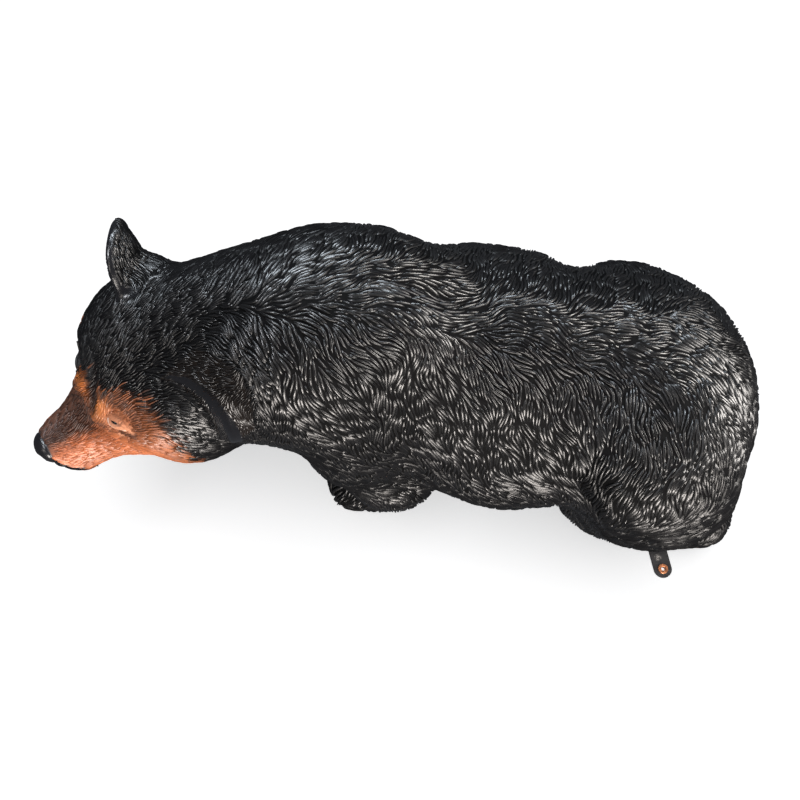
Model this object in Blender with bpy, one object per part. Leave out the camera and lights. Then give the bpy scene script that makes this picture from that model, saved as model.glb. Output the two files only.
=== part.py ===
"""Bear garden statue: a young black bear on four feet, head low and turned to its left, cast as one
shell, with a steel strap under the left hind foot and an eyelet in it. The bear faces -X, its left
side is -Y, the ground is z = 0."""

import math

import bmesh
import bpy
import numpy as np

# Driving sizes, in metres
LENGTH = 1.04
TAB_WIDTH = 0.030
TAB_THICK = 0.004
TAB_OUT = 0.047
TAB_IN = 0.045
TAB_SKEW = 14.5
TAB_EDGE = 0.0006
EYELET_OUT = 0.0165
EYELET_HOLE = 0.0065
EYELET_WALL = 0.0018
EYELET_RIM = 0.0014
EYELET_ROUND = 0.0005
EYELET_FROM_END = 0.0145
FIT_GAP = 0.0003
CUT_BEYOND = 0.01

# The figure's own units: this many from nose to heel
UNITS_LONG = 94.4
UNIT = LENGTH / UNITS_LONG
NET_STEP = 0.8
RELAX_ROUNDS = 5
NEWTON_REACH = 0.05
NET_LOW = (-54, -25, -3)
NET_HIGH = (52, 25, 62)
TRIANGLES = 8400
SOLE_WELD = 0.0015
ROUND_SIDES = 40

# Locks of fur, as low waves that run with the coat
LOCK_LONG = 6.0
LOCK_SWAY = 0.9
LOCK_WIDE = 2.6
LOCK_DEEP = 0.13
LOCKS_FROM_HEAD = 18.0
LOCKS_FROM_GROUND = 4.0

# Where the head sits and how it is turned, in degrees
HEAD_AT = (-29.0, -1.6, 34.2)
HEAD_YAW = 37.2
HEAD_PITCH = 13.1
HEAD_ROLL = -0.7

# Where the body's masses lie, in the figure's units: centre, half sizes, tilt about Y in degrees
BARREL = ((8.1, 1.2, 31.1), (29.4, 15.1, 17.5), 1.7)
CHEST = ((-3.9, 0.0, 33.2), (15.1, 10.5, 14.7), 0.0)
BELLY = ((14.6, 0.0, 26.8), (14.2, 15.2, 13.95), 0.0)
RUMP = ((29.9, -1.8, 32.5), (14.7, 17.3, 12.55), 0.0)
HUMP = ((-2.0, 3.2, 43.4), (9.2, 6.8, 9.9), 0.0)
TAIL = ((42.0, -1.5, 27.0), (2.2, 2.3, 4.6), -14.0)
FAR_HIP = ((27.7, 10.6, 33.6), (6.7, 4.4, 6.9), 0.0)
CREASES = (
    ((19.8, 11.1, 47.8), (20.8, 14.7, 43.2), 3.0, 3.0),
    ((20.8, 14.7, 43.2), (21.1, 18.9, 34.0), 3.0, 3.0),
    ((21.1, 18.9, 34.0), (24.5, 18.2, 18.0), 3.0, 3.0),
    ((2.0, 11.9, 50.6), (2.4, 15.4, 42.3), 3.0, 3.0),
    ((2.4, 15.4, 42.3), (3.0, 16.2, 24.0), 3.0, 3.0),
)
NECK = ((-9.7, -1.8, 41.8), 13.0, 10.4)
NAPE = (-1.6, 0.0, -1.1)

# Each foreleg: shoulder, elbow, wrist and paw, for the left side; the right one stands further forward
FORELEG = {
    "shoulder": ((-4.4, -8.3, 31.5), (6.9, 6.6, 13.0), -12.0),
    "elbow": ((0.0, -9.2, 20.2), (5.9, 5.0, 7.4), 0.0),
    "forearm": ((-1.0, -7.7, 17.0), (0.3, -5.4, 5.6), 5.2, 4.2),
    "paw": ((-3.6, -5.4, 2.8), (6.6, 4.6, 3.4), 0.0),
}
RIGHT_FORELEG = {
    "shoulder": ((-10.0, -9.5, 29.0), (9.0, 6.5, 13.0), -12.0),
    "elbow": ((-5.6, -9.2, 20.2), (5.4, 4.8, 7.2), 0.0),
    "forearm": ((-5.6, -8.4, 18.0), (-8.0, -7.0, 5.8), 5.2, 4.2),
    "paw": ((-11.5, -7.0, 2.8), (6.6, 4.6, 3.4), 0.0),
}
HINDLEG = {
    "thigh": ((33.4, -10.6, 25.8), (10.6, 7.8, 13.5), 12.0),
    "knee": ((30.0, -8.3, 15.0), (7.2, 5.5, 8.0), 0.0),
    "shank": ((33.0, -7.8, 13.0), (44.4, -8.3, 7.6), 5.6, 4.4),
    "paw": ((40.2, -7.7, 2.9), (8.6, 4.4, 3.5), 0.0),
}
RIGHT_HINDLEG = {
    "thigh": ((31.9, -8.9, 24.0), (12.0, 7.0, 13.5), 12.0),
    "knee": ((26.0, -9.5, 15.0), (6.4, 5.5, 8.0), 0.0),
    "shank": ((29.0, -9.0, 13.0), (38.6, -9.0, 6.4), 5.6, 4.4),
    "paw": ((34.6, -9.0, 2.9), (9.0, 4.4, 3.5), 0.0),
}
TOES = (-2, -1, 0, 1, 2)
TOE_PITCH = 1.6
TOE_HALF = (1.9, 1.0, 1.5)
TOES_FORWARD = 0.72
TOES_ROUND = 0.32
TOES_LOW = 1.0
TOES_SOFT = 1.2

# How widely neighbouring masses run into each other
LEG_SOFT = 4.0
PAW_SOFT = 2.5
FORELEG_SOFT = 1.8
HINDLEG_SOFT = 2.2
TORSO_SOFT = 5.0
BELLY_SOFT = 3.0
HIP_SOFT = 2.0
NECK_SOFT = 5.0
HEAD_SOFT = 3.0
MUZZLE_SOFT = 2.5
LIPS_SOFT = 1.5
EYE_SOFT = 0.3
TAIL_SOFT = 1.5
CREASE_SOFT = 2.4

# The strap's place at the left hind foot: behind the paw's middle, and as a share of its half width
TAB_BACK = 0.05
TAB_EDGE_SHARE = 0.93

# The head's own masses, from a point between the ears: forward, left, up
SKULL = ((0.8, 0.0, -0.8), (9.2, 9.9, 8.1), 0.0)
RUFF = ((0.9, 6.9, -2.6), (8.0, 6.5, 8.6), 0.0)
FOREHEAD = ((5.0, 0.0, 1.3), (7.0, 9.3, 4.6), 0.0)
MIDFACE = ((7.6, 0.0, -3.4), (7.6, 7.8, 4.8), 0.0)
BROW = ((8.7, 2.9, 1.9), (3.0, 2.3, 2.0), 0.0)
MUZZLE = ((8.5, 0.0, -2.0), (17.6, 0.0, -3.3), 4.4, 3.7)
JAW = ((7.5, 0.0, -6.5), (15.5, 0.0, -7.6), 3.6, 2.3)
FLEWS = ((9.0, 3.2, -4.6), (17.0, 1.8, -5.0), 2.1, 2.45)
NOSE = ((19.8, 0.0, -1.5), (1.8, 2.3, 1.8), 0.0)
EYE_DENT = ((10.0, 5.2, 4.5), (1.5, 1.5, 1.2), 0.0)
EYE = ((8.75, 4.95, 3.2), (1.1, 1.1, 1.1), 0.0)

# Each ear: place of its root, and how it leans out, back and round, in degrees
EARS = (
    {"root": (-3.3, 9.2, 0.7), "out": 23.0, "back": 7.0, "turn": 2.0, "side": 1},
    {"root": (-2.8, 7.7, 4.2), "out": 34.1, "back": 9.5, "turn": 22.9, "side": -1},
)
EAR_HIGH = 8.8
EAR_HALF_WIDE = 4.6
EAR_HALF_DEEP = 1.15
EAR_MIDDLE = 0.42
EAR_CURL = 1.5
EAR_CURL_MOST = 2.4
EAR_ROOT = ((-0.8, 0.0, 0.6), (2.2, 3.4, 3.2), 0.0)
EAR_CUP = ((1.5, 0.0, 3.6), (1.45, 3.0, 3.7), 0.0)
EAR_ROLL = 0.62
EAR_ROLL_AT = 0.92
EAR_SOFT = 1.2


def blend(a, b, width):
    """The union of two distances, rounded over the width."""
    h = np.clip(0.5 + 0.5 * (b - a) / width, 0, 1)
    return b + (a - b) * h - width * h * (1 - h)


def carve(a, b, width):
    """The first distance with the second taken away, rounded over the width."""
    return -blend(-a, b, width)


def ball(p, mass):
    """Distance to an ellipsoid of a centre, half sizes and tilt."""
    at, half, tilt = mass
    q = p - np.asarray(at, float)
    if tilt:
        c, s = math.cos(math.radians(tilt)), math.sin(math.radians(tilt))
        q = np.stack([q[:, 0] * c + q[:, 2] * s, q[:, 1], q[:, 2] * c - q[:, 0] * s], 1)
    half = np.asarray(half, float)
    k0 = np.sqrt(((q / half) ** 2).sum(1))
    k1 = np.sqrt(((q / half**2) ** 2).sum(1))
    return np.where(k0 < 1e-6, -half.min(), k0 * (k0 - 1) / np.maximum(k1, 1e-9))


def limb(p, bone):
    """Distance to a round cone along a bone with a radius at each end."""
    a, b, ra, rb = bone
    a, b = np.asarray(a, float), np.asarray(b, float)
    along = b - a
    long2 = along @ along
    drop = ra - rb
    slant2 = max(long2 - drop * drop, 1e-6)
    q = p - a
    y = q @ along
    z = y - long2
    x2 = ((q * long2 - np.outer(y, along)) ** 2).sum(1)
    y2, z2 = y * y * long2, z * z * long2
    k = np.sign(drop) * drop * drop * x2
    d = (np.sqrt(x2 * slant2 / long2) + y * drop) / long2 - ra
    d = np.where(np.sign(y) * slant2 * y2 < k, np.sqrt(x2 + y2) / long2 - ra, d)
    return np.where(np.sign(z) * slant2 * z2 > k, np.sqrt(x2 + z2) / long2 - rb, d)


def mirrored(p):
    """The same points with left and right exchanged."""
    return p * [1, -1, 1]


def head_axes():
    """Forward, left and up of the head, as rows."""
    y, p, r = np.radians([HEAD_YAW, HEAD_PITCH, HEAD_ROLL])
    forward = np.array([-np.cos(p) * np.cos(y), -np.cos(p) * np.sin(y), -np.sin(p)])
    left = np.array([np.sin(y), -np.cos(y), 0.0])
    up = np.cross(forward, left)
    return np.array([forward, left * np.cos(r) + up * np.sin(r), up * np.cos(r) - left * np.sin(r)])


def to_head(p):
    return (p - np.array(HEAD_AT)) @ head_axes().T


def from_head(q):
    return np.asarray(q, float) @ head_axes() + np.array(HEAD_AT)


def paw(p, mass):
    """A flat-soled paw with five toes at its front."""
    (x, y, z), (long, wide, _), _ = mass
    d = ball(p, mass)
    for toe in TOES:
        at = (x - long * TOES_FORWARD + TOES_ROUND * toe * toe, y + toe * TOE_PITCH, z - TOES_LOW)
        d = blend(d, ball(p, (at, TOE_HALF, 0.0)), TOES_SOFT)
    return d


def foreleg(p, leg):
    d = blend(ball(p, leg["shoulder"]), ball(p, leg["elbow"]), LEG_SOFT)
    d = blend(d, limb(p, leg["forearm"]), LEG_SOFT)
    return blend(d, paw(p, leg["paw"]), PAW_SOFT)


def hindleg(p, leg):
    d = blend(ball(p, leg["thigh"]), ball(p, leg["knee"]), LEG_SOFT)
    d = blend(d, limb(p, leg["shank"]), LEG_SOFT)
    return blend(d, paw(p, leg["paw"]), PAW_SOFT)


def torso(p):
    sides = np.stack([p[:, 0], np.abs(p[:, 1]), p[:, 2]], 1)
    d = blend(ball(p, BARREL), ball(p, CHEST), TORSO_SOFT)
    d = blend(d, ball(p, BELLY), BELLY_SOFT)
    d = blend(d, ball(p, RUMP), TORSO_SOFT)
    d = blend(d, ball(p, FAR_HIP), HIP_SOFT)
    d = blend(d, ball(sides, HUMP), TORSO_SOFT)
    return blend(d, ball(p, TAIL), TAIL_SOFT)


def ear(q, shape):
    """A curled ear with a rolled rim, a cup in front and a flared root."""
    out, back, turn = np.radians([shape["out"], shape["back"], shape["turn"]])
    high = np.array([-np.sin(back), np.cos(back) * np.sin(out), np.cos(back) * np.cos(out)])
    face = np.array([np.cos(turn), np.sin(turn), 0.0])
    face = face - (face @ high) * high
    face /= np.linalg.norm(face)
    q = q * [1, shape["side"], 1] - np.array(shape["root"])
    q = q @ np.array([face, np.cross(high, face), high]).T
    middle, half_high = EAR_HIGH * EAR_MIDDLE, EAR_HIGH * (1 - EAR_MIDDLE)
    bent = q.copy()
    bent[:, 0] -= np.minimum(EAR_CURL * (q[:, 1] / EAR_HALF_WIDE) ** 2, EAR_CURL_MOST)
    d = ball(bent, ((0, 0, middle), (EAR_HALF_DEEP, EAR_HALF_WIDE, half_high), 0.0))
    across, up = bent[:, 1], bent[:, 2] - middle
    ring = np.maximum(np.hypot(across / EAR_HALF_WIDE, up / half_high), 1e-6)
    from_rim = np.hypot(across, up) * (1 - EAR_ROLL_AT / ring)
    d = blend(d, np.hypot(from_rim, bent[:, 0]) - EAR_ROLL, EAR_SOFT / 2)
    d = blend(d, ball(q, EAR_ROOT), EAR_SOFT)
    return carve(d, ball(bent, EAR_CUP), EAR_SOFT / 2)


def head(p):
    q = to_head(p)
    m = np.stack([q[:, 0], np.abs(q[:, 1]), q[:, 2]], 1)
    d = blend(ball(q, SKULL), ball(m, RUFF), HEAD_SOFT)
    d = blend(d, ball(q, FOREHEAD), HEAD_SOFT)
    d = blend(d, ball(q, MIDFACE), MUZZLE_SOFT)
    d = blend(d, ball(m, BROW), MUZZLE_SOFT / 2)
    d = blend(d, limb(q, MUZZLE), MUZZLE_SOFT)
    d = blend(d, limb(q, JAW), LIPS_SOFT)
    d = blend(d, limb(m, FLEWS), LIPS_SOFT)
    d = blend(d, ball(q, NOSE), LIPS_SOFT / 2)
    d = carve(d, ball(m, EYE_DENT), LIPS_SOFT / 2)
    d = blend(d, ball(m, EYE), EYE_SOFT)
    for shape in EARS:
        d = blend(d, ear(q, shape), EAR_SOFT)
    return d


def body(p):
    """Signed distance to the trunk, legs and neck."""
    d = torso(p)
    d = blend(d, foreleg(p, FORELEG), FORELEG_SOFT)
    d = blend(d, foreleg(mirrored(p), RIGHT_FORELEG), FORELEG_SOFT)
    d = blend(d, hindleg(p, HINDLEG), HINDLEG_SOFT)
    d = blend(d, hindleg(mirrored(p), RIGHT_HINDLEG), HINDLEG_SOFT)
    d = blend(d, limb(p, (NECK[0], from_head(NAPE), NECK[1], NECK[2])), NECK_SOFT)
    sides = np.stack([p[:, 0], np.abs(p[:, 1]), p[:, 2]], 1)
    for crease in CREASES:
        d = carve(d, limb(sides, crease), CREASE_SOFT)
    return d


def smooth_form(p):
    """Signed distance to the whole figure without its coat."""
    return blend(body(p), head(p), HEAD_SOFT)


def locks(p):
    """The coat's low waves: long across the back and down the flanks, fading at the face, ears and paws."""
    along = p[:, 0] + 0.55 * (p[:, 2] - HEAD_AT[2])
    row = p[:, 1] * 0.8 + 0.5 * p[:, 2] - 0.25 * p[:, 0]
    sway = LOCK_SWAY * np.sin(math.pi * along / LOCK_LONG)
    crest = 0.6 + 0.4 * np.sin(2 * math.pi * (along + row) / LOCK_LONG)
    wave = crest * np.sin(2 * math.pi * (row + sway) / LOCK_WIDE)
    off_head = (np.linalg.norm(p - np.array(HEAD_AT), axis=1) - LOCKS_FROM_HEAD) / LOCK_LONG
    off_ground = (p[:, 2] - LOCKS_FROM_GROUND) / LOCK_LONG
    return LOCK_DEEP * wave * np.clip(np.minimum(off_head, off_ground), 0, 1)


def form(p):
    return smooth_form(p) - locks(p)


def filled_diagonals(inside):
    """The inside marks with no square in at two opposite corners only, where a net would pinch."""
    while True:
        found = False
        for u, v in ((0, 1), (1, 2), (0, 2)):
            here = [slice(None)] * 3
            quarters = []
            for du, dv in ((0, 0), (1, 0), (0, 1), (1, 1)):
                here[u] = slice(du, inside.shape[u] - 1 + du)
                here[v] = slice(dv, inside.shape[v] - 1 + dv)
                quarters.append(inside[tuple(here)])
            a, b, c, d = quarters
            pinched = (a & d & ~b & ~c) | (b & c & ~a & ~d)
            if pinched.any():
                found = True
                for quarter in quarters:
                    quarter |= pinched
        if not found:
            return inside


def surface_net(low, high, step):
    """A closed quad mesh near the form's surface: one corner in each grid cell that the surface crosses."""
    axes = [np.arange(a, b, step) for a, b in zip(low, high)]
    grid = np.stack(np.meshgrid(*axes, indexing="ij"), -1)
    inside = filled_diagonals(smooth_form(grid.reshape(-1, 3)).reshape(grid.shape[:3]) < 0)
    wide, deep, tall = (n - 1 for n in inside.shape)
    count = np.zeros((wide, deep, tall), int)
    for i, j, k in np.ndindex(2, 2, 2):
        count += inside[i : wide + i, j : deep + j, k : tall + k]
    mixed = (count > 0) & (count < 8)
    number = np.full(mixed.shape, -1)
    number[mixed] = np.arange(mixed.sum())
    points = np.argwhere(mixed) * step + np.array(low) + step / 2
    faces = []
    for axis in range(3):
        u, v = (axis + 1) % 3, (axis + 2) % 3
        first = inside.take(range(inside.shape[axis] - 1), axis)
        second = inside.take(range(1, inside.shape[axis]), axis)
        at = np.argwhere(first != second)
        turned = second[tuple(at.T)]
        ring = []
        for du, dv in ((-1, -1), (0, -1), (0, 0), (-1, 0)):
            cell = at.copy()
            cell[:, u] += du
            cell[:, v] += dv
            ring.append(number[tuple(cell.T)])
        quad = np.stack(ring, 1)
        quad[turned] = quad[turned][:, ::-1]
        faces.append(quad)
    return points, np.concatenate(faces)


def onto(points, surface):
    """The points moved along the slope of a distance, onto its zero level."""
    slope = np.zeros_like(points)
    for axis, step in enumerate(NEWTON_REACH * np.eye(3)):
        slope[:, axis] = (surface(points + step) - surface(points - step)) / (2 * NEWTON_REACH)
    steep = np.maximum((slope**2).sum(1), 0.25)
    step = (surface(points) / steep)[:, None] * slope
    reach = np.linalg.norm(step, axis=1, keepdims=True)
    return points - step * np.minimum(1, NET_STEP / np.maximum(reach, 1e-9))


def relaxed(points, faces):
    """Each point moved to the middle of its neighbours."""
    total = np.zeros_like(points)
    count = np.zeros(len(points))
    for k in range(4):
        a, b = faces[:, k], faces[:, (k + 1) % 4]
        np.add.at(total, a, points[b])
        np.add.at(total, b, points[a])
        np.add.at(count, a, 1)
        np.add.at(count, b, 1)
    return total / count[:, None]


def plain_material(name, colour, roughness, metallic=0.0):
    material = bpy.data.materials.new(name)
    material.use_nodes = True
    shader = material.node_tree.nodes["Principled BSDF"]
    shader.inputs["Base Color"].default_value = (*colour, 1.0)
    shader.inputs["Roughness"].default_value = roughness
    shader.inputs["Metallic"].default_value = metallic
    material.diffuse_color = (*colour, 1.0)
    return material


def place(name, mesh, material):
    obj = bpy.data.objects.new(name, mesh)
    bpy.context.scene.collection.objects.link(obj)
    mesh.materials.append(material)
    return obj


def settled(obj):
    """The object's mesh as its modifiers leave it."""
    bpy.context.view_layer.update()
    seen = obj.evaluated_get(bpy.context.evaluated_depsgraph_get())
    mesh = bpy.data.meshes.new_from_object(seen)
    obj.modifiers.clear()
    obj.data = mesh
    return mesh


def flat_soles(mesh):
    """Cuts the mesh off at the ground and closes the soles."""
    work = bmesh.new()
    work.from_mesh(mesh)
    all_parts = work.verts[:] + work.edges[:] + work.faces[:]
    down = (0, 0, -1)
    bmesh.ops.bisect_plane(work, geom=all_parts, dist=1e-6, plane_no=down, clear_outer=True)
    low = [v for v in work.verts if v.co.z < 1e-6]
    bmesh.ops.remove_doubles(work, verts=low, dist=SOLE_WELD)
    rim = [e for e in work.edges if e.is_boundary]
    bmesh.ops.holes_fill(work, edges=rim, sides=0)
    bmesh.ops.triangulate(work, faces=[f for f in work.faces if len(f.verts) > 3])
    bmesh.ops.recalc_face_normals(work, faces=work.faces[:])
    work.to_mesh(mesh)
    work.free()


def tab_frame():
    """The strap's middle line at the foot's outer side, and its turn about Z."""
    (x, y, _), (_, wide, _), _ = HINDLEG["paw"]
    return x + TAB_BACK, y - wide * TAB_EDGE_SHARE, math.radians(TAB_SKEW)


def strap_outline(extra=0.0):
    """The strap seen from above, from its inner end round its outer end, with x across and -y outwards."""
    r = TAB_WIDTH / 2 + extra
    corners = [(r, TAB_IN + extra), (-r, TAB_IN + extra)]
    steps = ROUND_SIDES // 2
    for i in range(steps + 1):
        a = math.pi + math.pi * i / steps
        corners.append((r * math.cos(a), -(TAB_OUT - TAB_WIDTH / 2) + r * math.sin(a)))
    return corners


def hole_centre():
    return -(TAB_OUT - EYELET_FROM_END)


def put_at_foot(obj):
    x, y, turn = tab_frame()
    obj.location = (x * UNIT, y * UNIT, 0)
    obj.rotation_euler = (0, 0, turn)


def prism(name, outline, low, high):
    """A flat-ended solid over an outline."""
    work = bmesh.new()
    base = [work.verts.new((x, y, low)) for x, y in outline]
    face = work.faces.new(base)
    lifted = bmesh.ops.extrude_face_region(work, geom=[face])
    for v in lifted["geom"]:
        if isinstance(v, bmesh.types.BMVert):
            v.co.z = high
    bmesh.ops.recalc_face_normals(work, faces=work.faces[:])
    mesh = bpy.data.meshes.new(name)
    work.to_mesh(mesh)
    work.free()
    return mesh


def boolean_cut(obj, cutter):
    cutter.hide_render = True
    cutter.display_type = "WIRE"
    cut = obj.modifiers.new("cut_" + cutter.name, "BOOLEAN")
    cut.operation = "DIFFERENCE"
    cut.object = cutter
    cut.solver = "EXACT"


def make_bear():
    points, faces = surface_net(NET_LOW, NET_HIGH, NET_STEP)
    for _ in range(RELAX_ROUNDS):
        points = onto(relaxed(points, faces), smooth_form)
    for _ in range(3):
        points = onto(points, form)
    mesh = bpy.data.meshes.new("bear")
    mesh.from_pydata((points * UNIT).tolist(), [], faces.tolist())
    coat = plain_material("black_cast_coat", (0.018, 0.018, 0.022), 0.42)
    bear = place("bear", mesh, coat)
    thin = bear.modifiers.new("fewer_faces", "DECIMATE")
    thin.ratio = TRIANGLES / (2 * len(faces))
    flat_soles(settled(bear))
    room = prism("strap_pocket", strap_outline(FIT_GAP), -CUT_BEYOND, TAB_THICK + FIT_GAP)
    pocket = place("strap_pocket", room, coat)
    put_at_foot(pocket)
    boolean_cut(bear, pocket)
    bear.data.shade_smooth()
    return bear


def make_strap():
    steel = plain_material("black_painted_steel", (0.02, 0.021, 0.024), 0.38, 0.6)
    strap = place("ground_tab", prism("ground_tab", strap_outline(), 0, TAB_THICK), steel)
    put_at_foot(strap)
    r = EYELET_HOLE / 2 + EYELET_WALL + FIT_GAP
    ring = []
    for i in range(ROUND_SIDES):
        a = 2 * math.pi * i / ROUND_SIDES
        ring.append((r * math.cos(a), hole_centre() + r * math.sin(a)))
    bore = prism("eyelet_seat", ring, -CUT_BEYOND, TAB_THICK + CUT_BEYOND)
    drill = place("eyelet_seat", bore, steel)
    put_at_foot(drill)
    boolean_cut(strap, drill)
    soft = strap.modifiers.new("edges", "BEVEL")
    soft.width = TAB_EDGE
    soft.segments = 2
    soft.limit_method = "ANGLE"
    soft.angle_limit = math.radians(40)
    return strap


def make_eyelet():
    """A flanged ring: its neck in the strap's hole, its rim on the strap."""
    inner, neck, outer = EYELET_HOLE / 2, EYELET_HOLE / 2 + EYELET_WALL, EYELET_OUT / 2
    seat = TAB_THICK + FIT_GAP
    top = seat + EYELET_RIM
    lower = [(inner, 0.0), (neck, 0.0), (neck, seat), (outer, seat)]
    outside = [(outer, top - EYELET_ROUND), (outer - EYELET_ROUND, top)]
    inside = [(inner + EYELET_ROUND, top), (inner, top - EYELET_ROUND)]
    profile = lower + outside + inside
    work = bmesh.new()
    rings = []
    for i in range(ROUND_SIDES):
        a = 2 * math.pi * i / ROUND_SIDES
        ring = []
        for r, z in profile:
            ring.append(work.verts.new((r * math.cos(a), hole_centre() + r * math.sin(a), z)))
        rings.append(ring)
    for i, ring in enumerate(rings):
        following = rings[(i + 1) % ROUND_SIDES]
        for k in range(len(profile)):
            n = (k + 1) % len(profile)
            work.faces.new((ring[k], following[k], following[n], ring[n]))
    bmesh.ops.recalc_face_normals(work, faces=work.faces[:])
    mesh = bpy.data.meshes.new("tab_eyelet")
    work.to_mesh(mesh)
    work.free()
    eyelet = place("tab_eyelet", mesh, plain_material("copper_eyelet", (0.62, 0.27, 0.13), 0.35, 0.9))
    put_at_foot(eyelet)
    return eyelet


def centre_on_origin():
    """Moves everything so that the origin is on the ground, under the middle of the whole piece."""
    bpy.context.view_layer.update()
    graph = bpy.context.evaluated_depsgraph_get()
    corners = []
    for obj in bpy.data.objects:
        if not obj.hide_render:
            seen = obj.evaluated_get(graph)
            mesh = seen.to_mesh()
            corners += [seen.matrix_world @ v.co for v in mesh.vertices]
            seen.to_mesh_clear()
    middle = [(min(c[i] for c in corners) + max(c[i] for c in corners)) / 2 for i in (0, 1)]
    for obj in bpy.data.objects:
        obj.location.x -= middle[0]
        obj.location.y -= middle[1]


def main():
    for obj in list(bpy.data.objects):
        bpy.data.objects.remove(obj)
    make_bear()
    make_strap()
    make_eyelet()
    centre_on_origin()


main()
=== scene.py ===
"""Looks of the bear garden statue: its skin with a carved face, the coat in strokes along the lie of the fur,
the eyes, the ground strap and its eyelet, on a pale floor under soft light."""
import math

import bmesh
import bpy
import numpy as np
from mathutils import Matrix, Vector, kdtree


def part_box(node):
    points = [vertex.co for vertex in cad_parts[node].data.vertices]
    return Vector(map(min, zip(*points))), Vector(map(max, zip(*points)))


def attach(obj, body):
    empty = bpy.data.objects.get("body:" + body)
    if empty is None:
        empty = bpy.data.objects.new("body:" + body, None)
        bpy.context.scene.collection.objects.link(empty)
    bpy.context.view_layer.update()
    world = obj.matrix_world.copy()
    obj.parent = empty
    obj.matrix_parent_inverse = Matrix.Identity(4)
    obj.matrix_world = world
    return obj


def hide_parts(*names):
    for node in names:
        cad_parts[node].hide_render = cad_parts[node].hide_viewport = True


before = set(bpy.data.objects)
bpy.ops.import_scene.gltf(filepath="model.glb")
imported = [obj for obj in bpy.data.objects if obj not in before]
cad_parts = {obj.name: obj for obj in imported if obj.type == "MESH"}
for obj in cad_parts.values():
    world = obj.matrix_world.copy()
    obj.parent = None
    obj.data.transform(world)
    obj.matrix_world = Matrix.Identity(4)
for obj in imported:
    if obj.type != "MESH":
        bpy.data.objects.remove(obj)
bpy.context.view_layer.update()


# Sizes shared with the solids, in metres; the strap's skew is in degrees
LENGTH = 1.04
TAB_WIDTH = 0.030
TAB_THICK = 0.004
TAB_OUT = 0.047
TAB_IN = 0.045
TAB_SKEW = 14.5
EYELET_FROM_END = 0.0145
FIT_GAP = 0.0003

# The figure's own units: this many from nose to heel
UNITS_LONG = 94.4
UNIT = LENGTH / UNITS_LONG

# Where the head sits and how it is turned, in degrees
HEAD_AT = (-29.0, -1.6, 34.2)
HEAD_YAW = 37.2
HEAD_PITCH = 13.1
HEAD_ROLL = -0.7

# Where the body's masses lie, in the figure's units: centre, half sizes, and tilt about Y in degrees if any
BARREL = ((8.1, 1.2, 31.1), (29.4, 15.1, 17.5), 1.7)
CHEST = ((-3.9, 0.0, 33.2), (15.1, 10.5, 14.7))
BELLY = ((14.6, 0.0, 26.8), (14.2, 15.2, 13.95))
RUMP = ((29.9, -1.8, 32.5), (14.7, 17.3, 12.55))
HUMP = ((-2.0, 3.2, 43.4), (9.2, 6.8, 9.9))
TAIL = ((42.0, -1.5, 27.0), (2.2, 2.3, 4.6), -14.0)
FAR_HIP = ((27.7, 10.6, 33.6), (6.7, 4.4, 6.9))
CREASES = (
    ((19.8, 11.1, 47.8), (20.8, 14.7, 43.2), 3.0, 3.0),
    ((20.8, 14.7, 43.2), (21.1, 18.9, 34.0), 3.0, 3.0),
    ((21.1, 18.9, 34.0), (24.5, 18.2, 18.0), 3.0, 3.0),
    ((2.0, 11.9, 50.6), (2.4, 15.4, 42.3), 3.0, 3.0),
    ((2.4, 15.4, 42.3), (3.0, 16.2, 24.0), 3.0, 3.0),
)
NECK = ((-9.7, -1.8, 41.8), 13.0, 10.4)
NAPE = (-1.6, 0.0, -1.1)

# Each foreleg: shoulder, elbow, wrist and paw, for the left side; the right one stands further forward
FORELEG = {
    "shoulder": ((-4.4, -8.3, 31.5), (6.9, 6.6, 13.0), -12.0),
    "elbow": ((0.0, -9.2, 20.2), (5.9, 5.0, 7.4)),
    "forearm": ((-1.0, -7.7, 17.0), (0.3, -5.4, 5.6), 5.2, 4.2),
    "paw": ((-3.6, -5.4, 2.8), (6.6, 4.6, 3.4)),
}
RIGHT_FORELEG = {
    "shoulder": ((-10.0, -9.5, 29.0), (9.0, 6.5, 13.0), -12.0),
    "elbow": ((-5.6, -9.2, 20.2), (5.4, 4.8, 7.2)),
    "forearm": ((-5.6, -8.4, 18.0), (-8.0, -7.0, 5.8), 5.2, 4.2),
    "paw": ((-11.5, -7.0, 2.8), (6.6, 4.6, 3.4)),
}
HINDLEG = {
    "thigh": ((33.4, -10.6, 25.8), (10.6, 7.8, 13.5), 12.0),
    "knee": ((30.0, -8.3, 15.0), (7.2, 5.5, 8.0)),
    "shank": ((33.0, -7.8, 13.0), (44.4, -8.3, 7.6), 5.6, 4.4),
    "paw": ((40.2, -7.7, 2.9), (8.6, 4.4, 3.5)),
}
RIGHT_HINDLEG = {
    "thigh": ((31.9, -8.9, 24.0), (12.0, 7.0, 13.5), 12.0),
    "knee": ((26.0, -9.5, 15.0), (6.4, 5.5, 8.0)),
    "shank": ((29.0, -9.0, 13.0), (38.6, -9.0, 6.4), 5.6, 4.4),
    "paw": ((34.6, -9.0, 2.9), (9.0, 4.4, 3.5)),
}
TOES = (-2, -1, 0, 1, 2)
TOE_PITCH = 1.6
TOE_HALF = (1.9, 1.0, 1.5)
TOES_FORWARD = 0.72
TOES_ROUND = 0.32
TOES_LOW = 1.0
TOES_SOFT = 1.2

# How widely neighbouring masses run into each other
LEG_SOFT = 4.0
PAW_SOFT = 2.5
FORELEG_SOFT = 1.8
HINDLEG_SOFT = 2.2
TORSO_SOFT = 5.0
BELLY_SOFT = 3.0
HIP_SOFT = 2.0
NECK_SOFT = 5.0
HEAD_SOFT = 3.0
MUZZLE_SOFT = 2.5
LIPS_SOFT = 1.5
EYE_SOFT = 0.3
TAIL_SOFT = 1.5
CREASE_SOFT = 2.4

# The strap's place at the left hind foot: behind the paw's middle, and as a share of its half width
TAB_BACK = 0.05
TAB_EDGE_SHARE = 0.93

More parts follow.
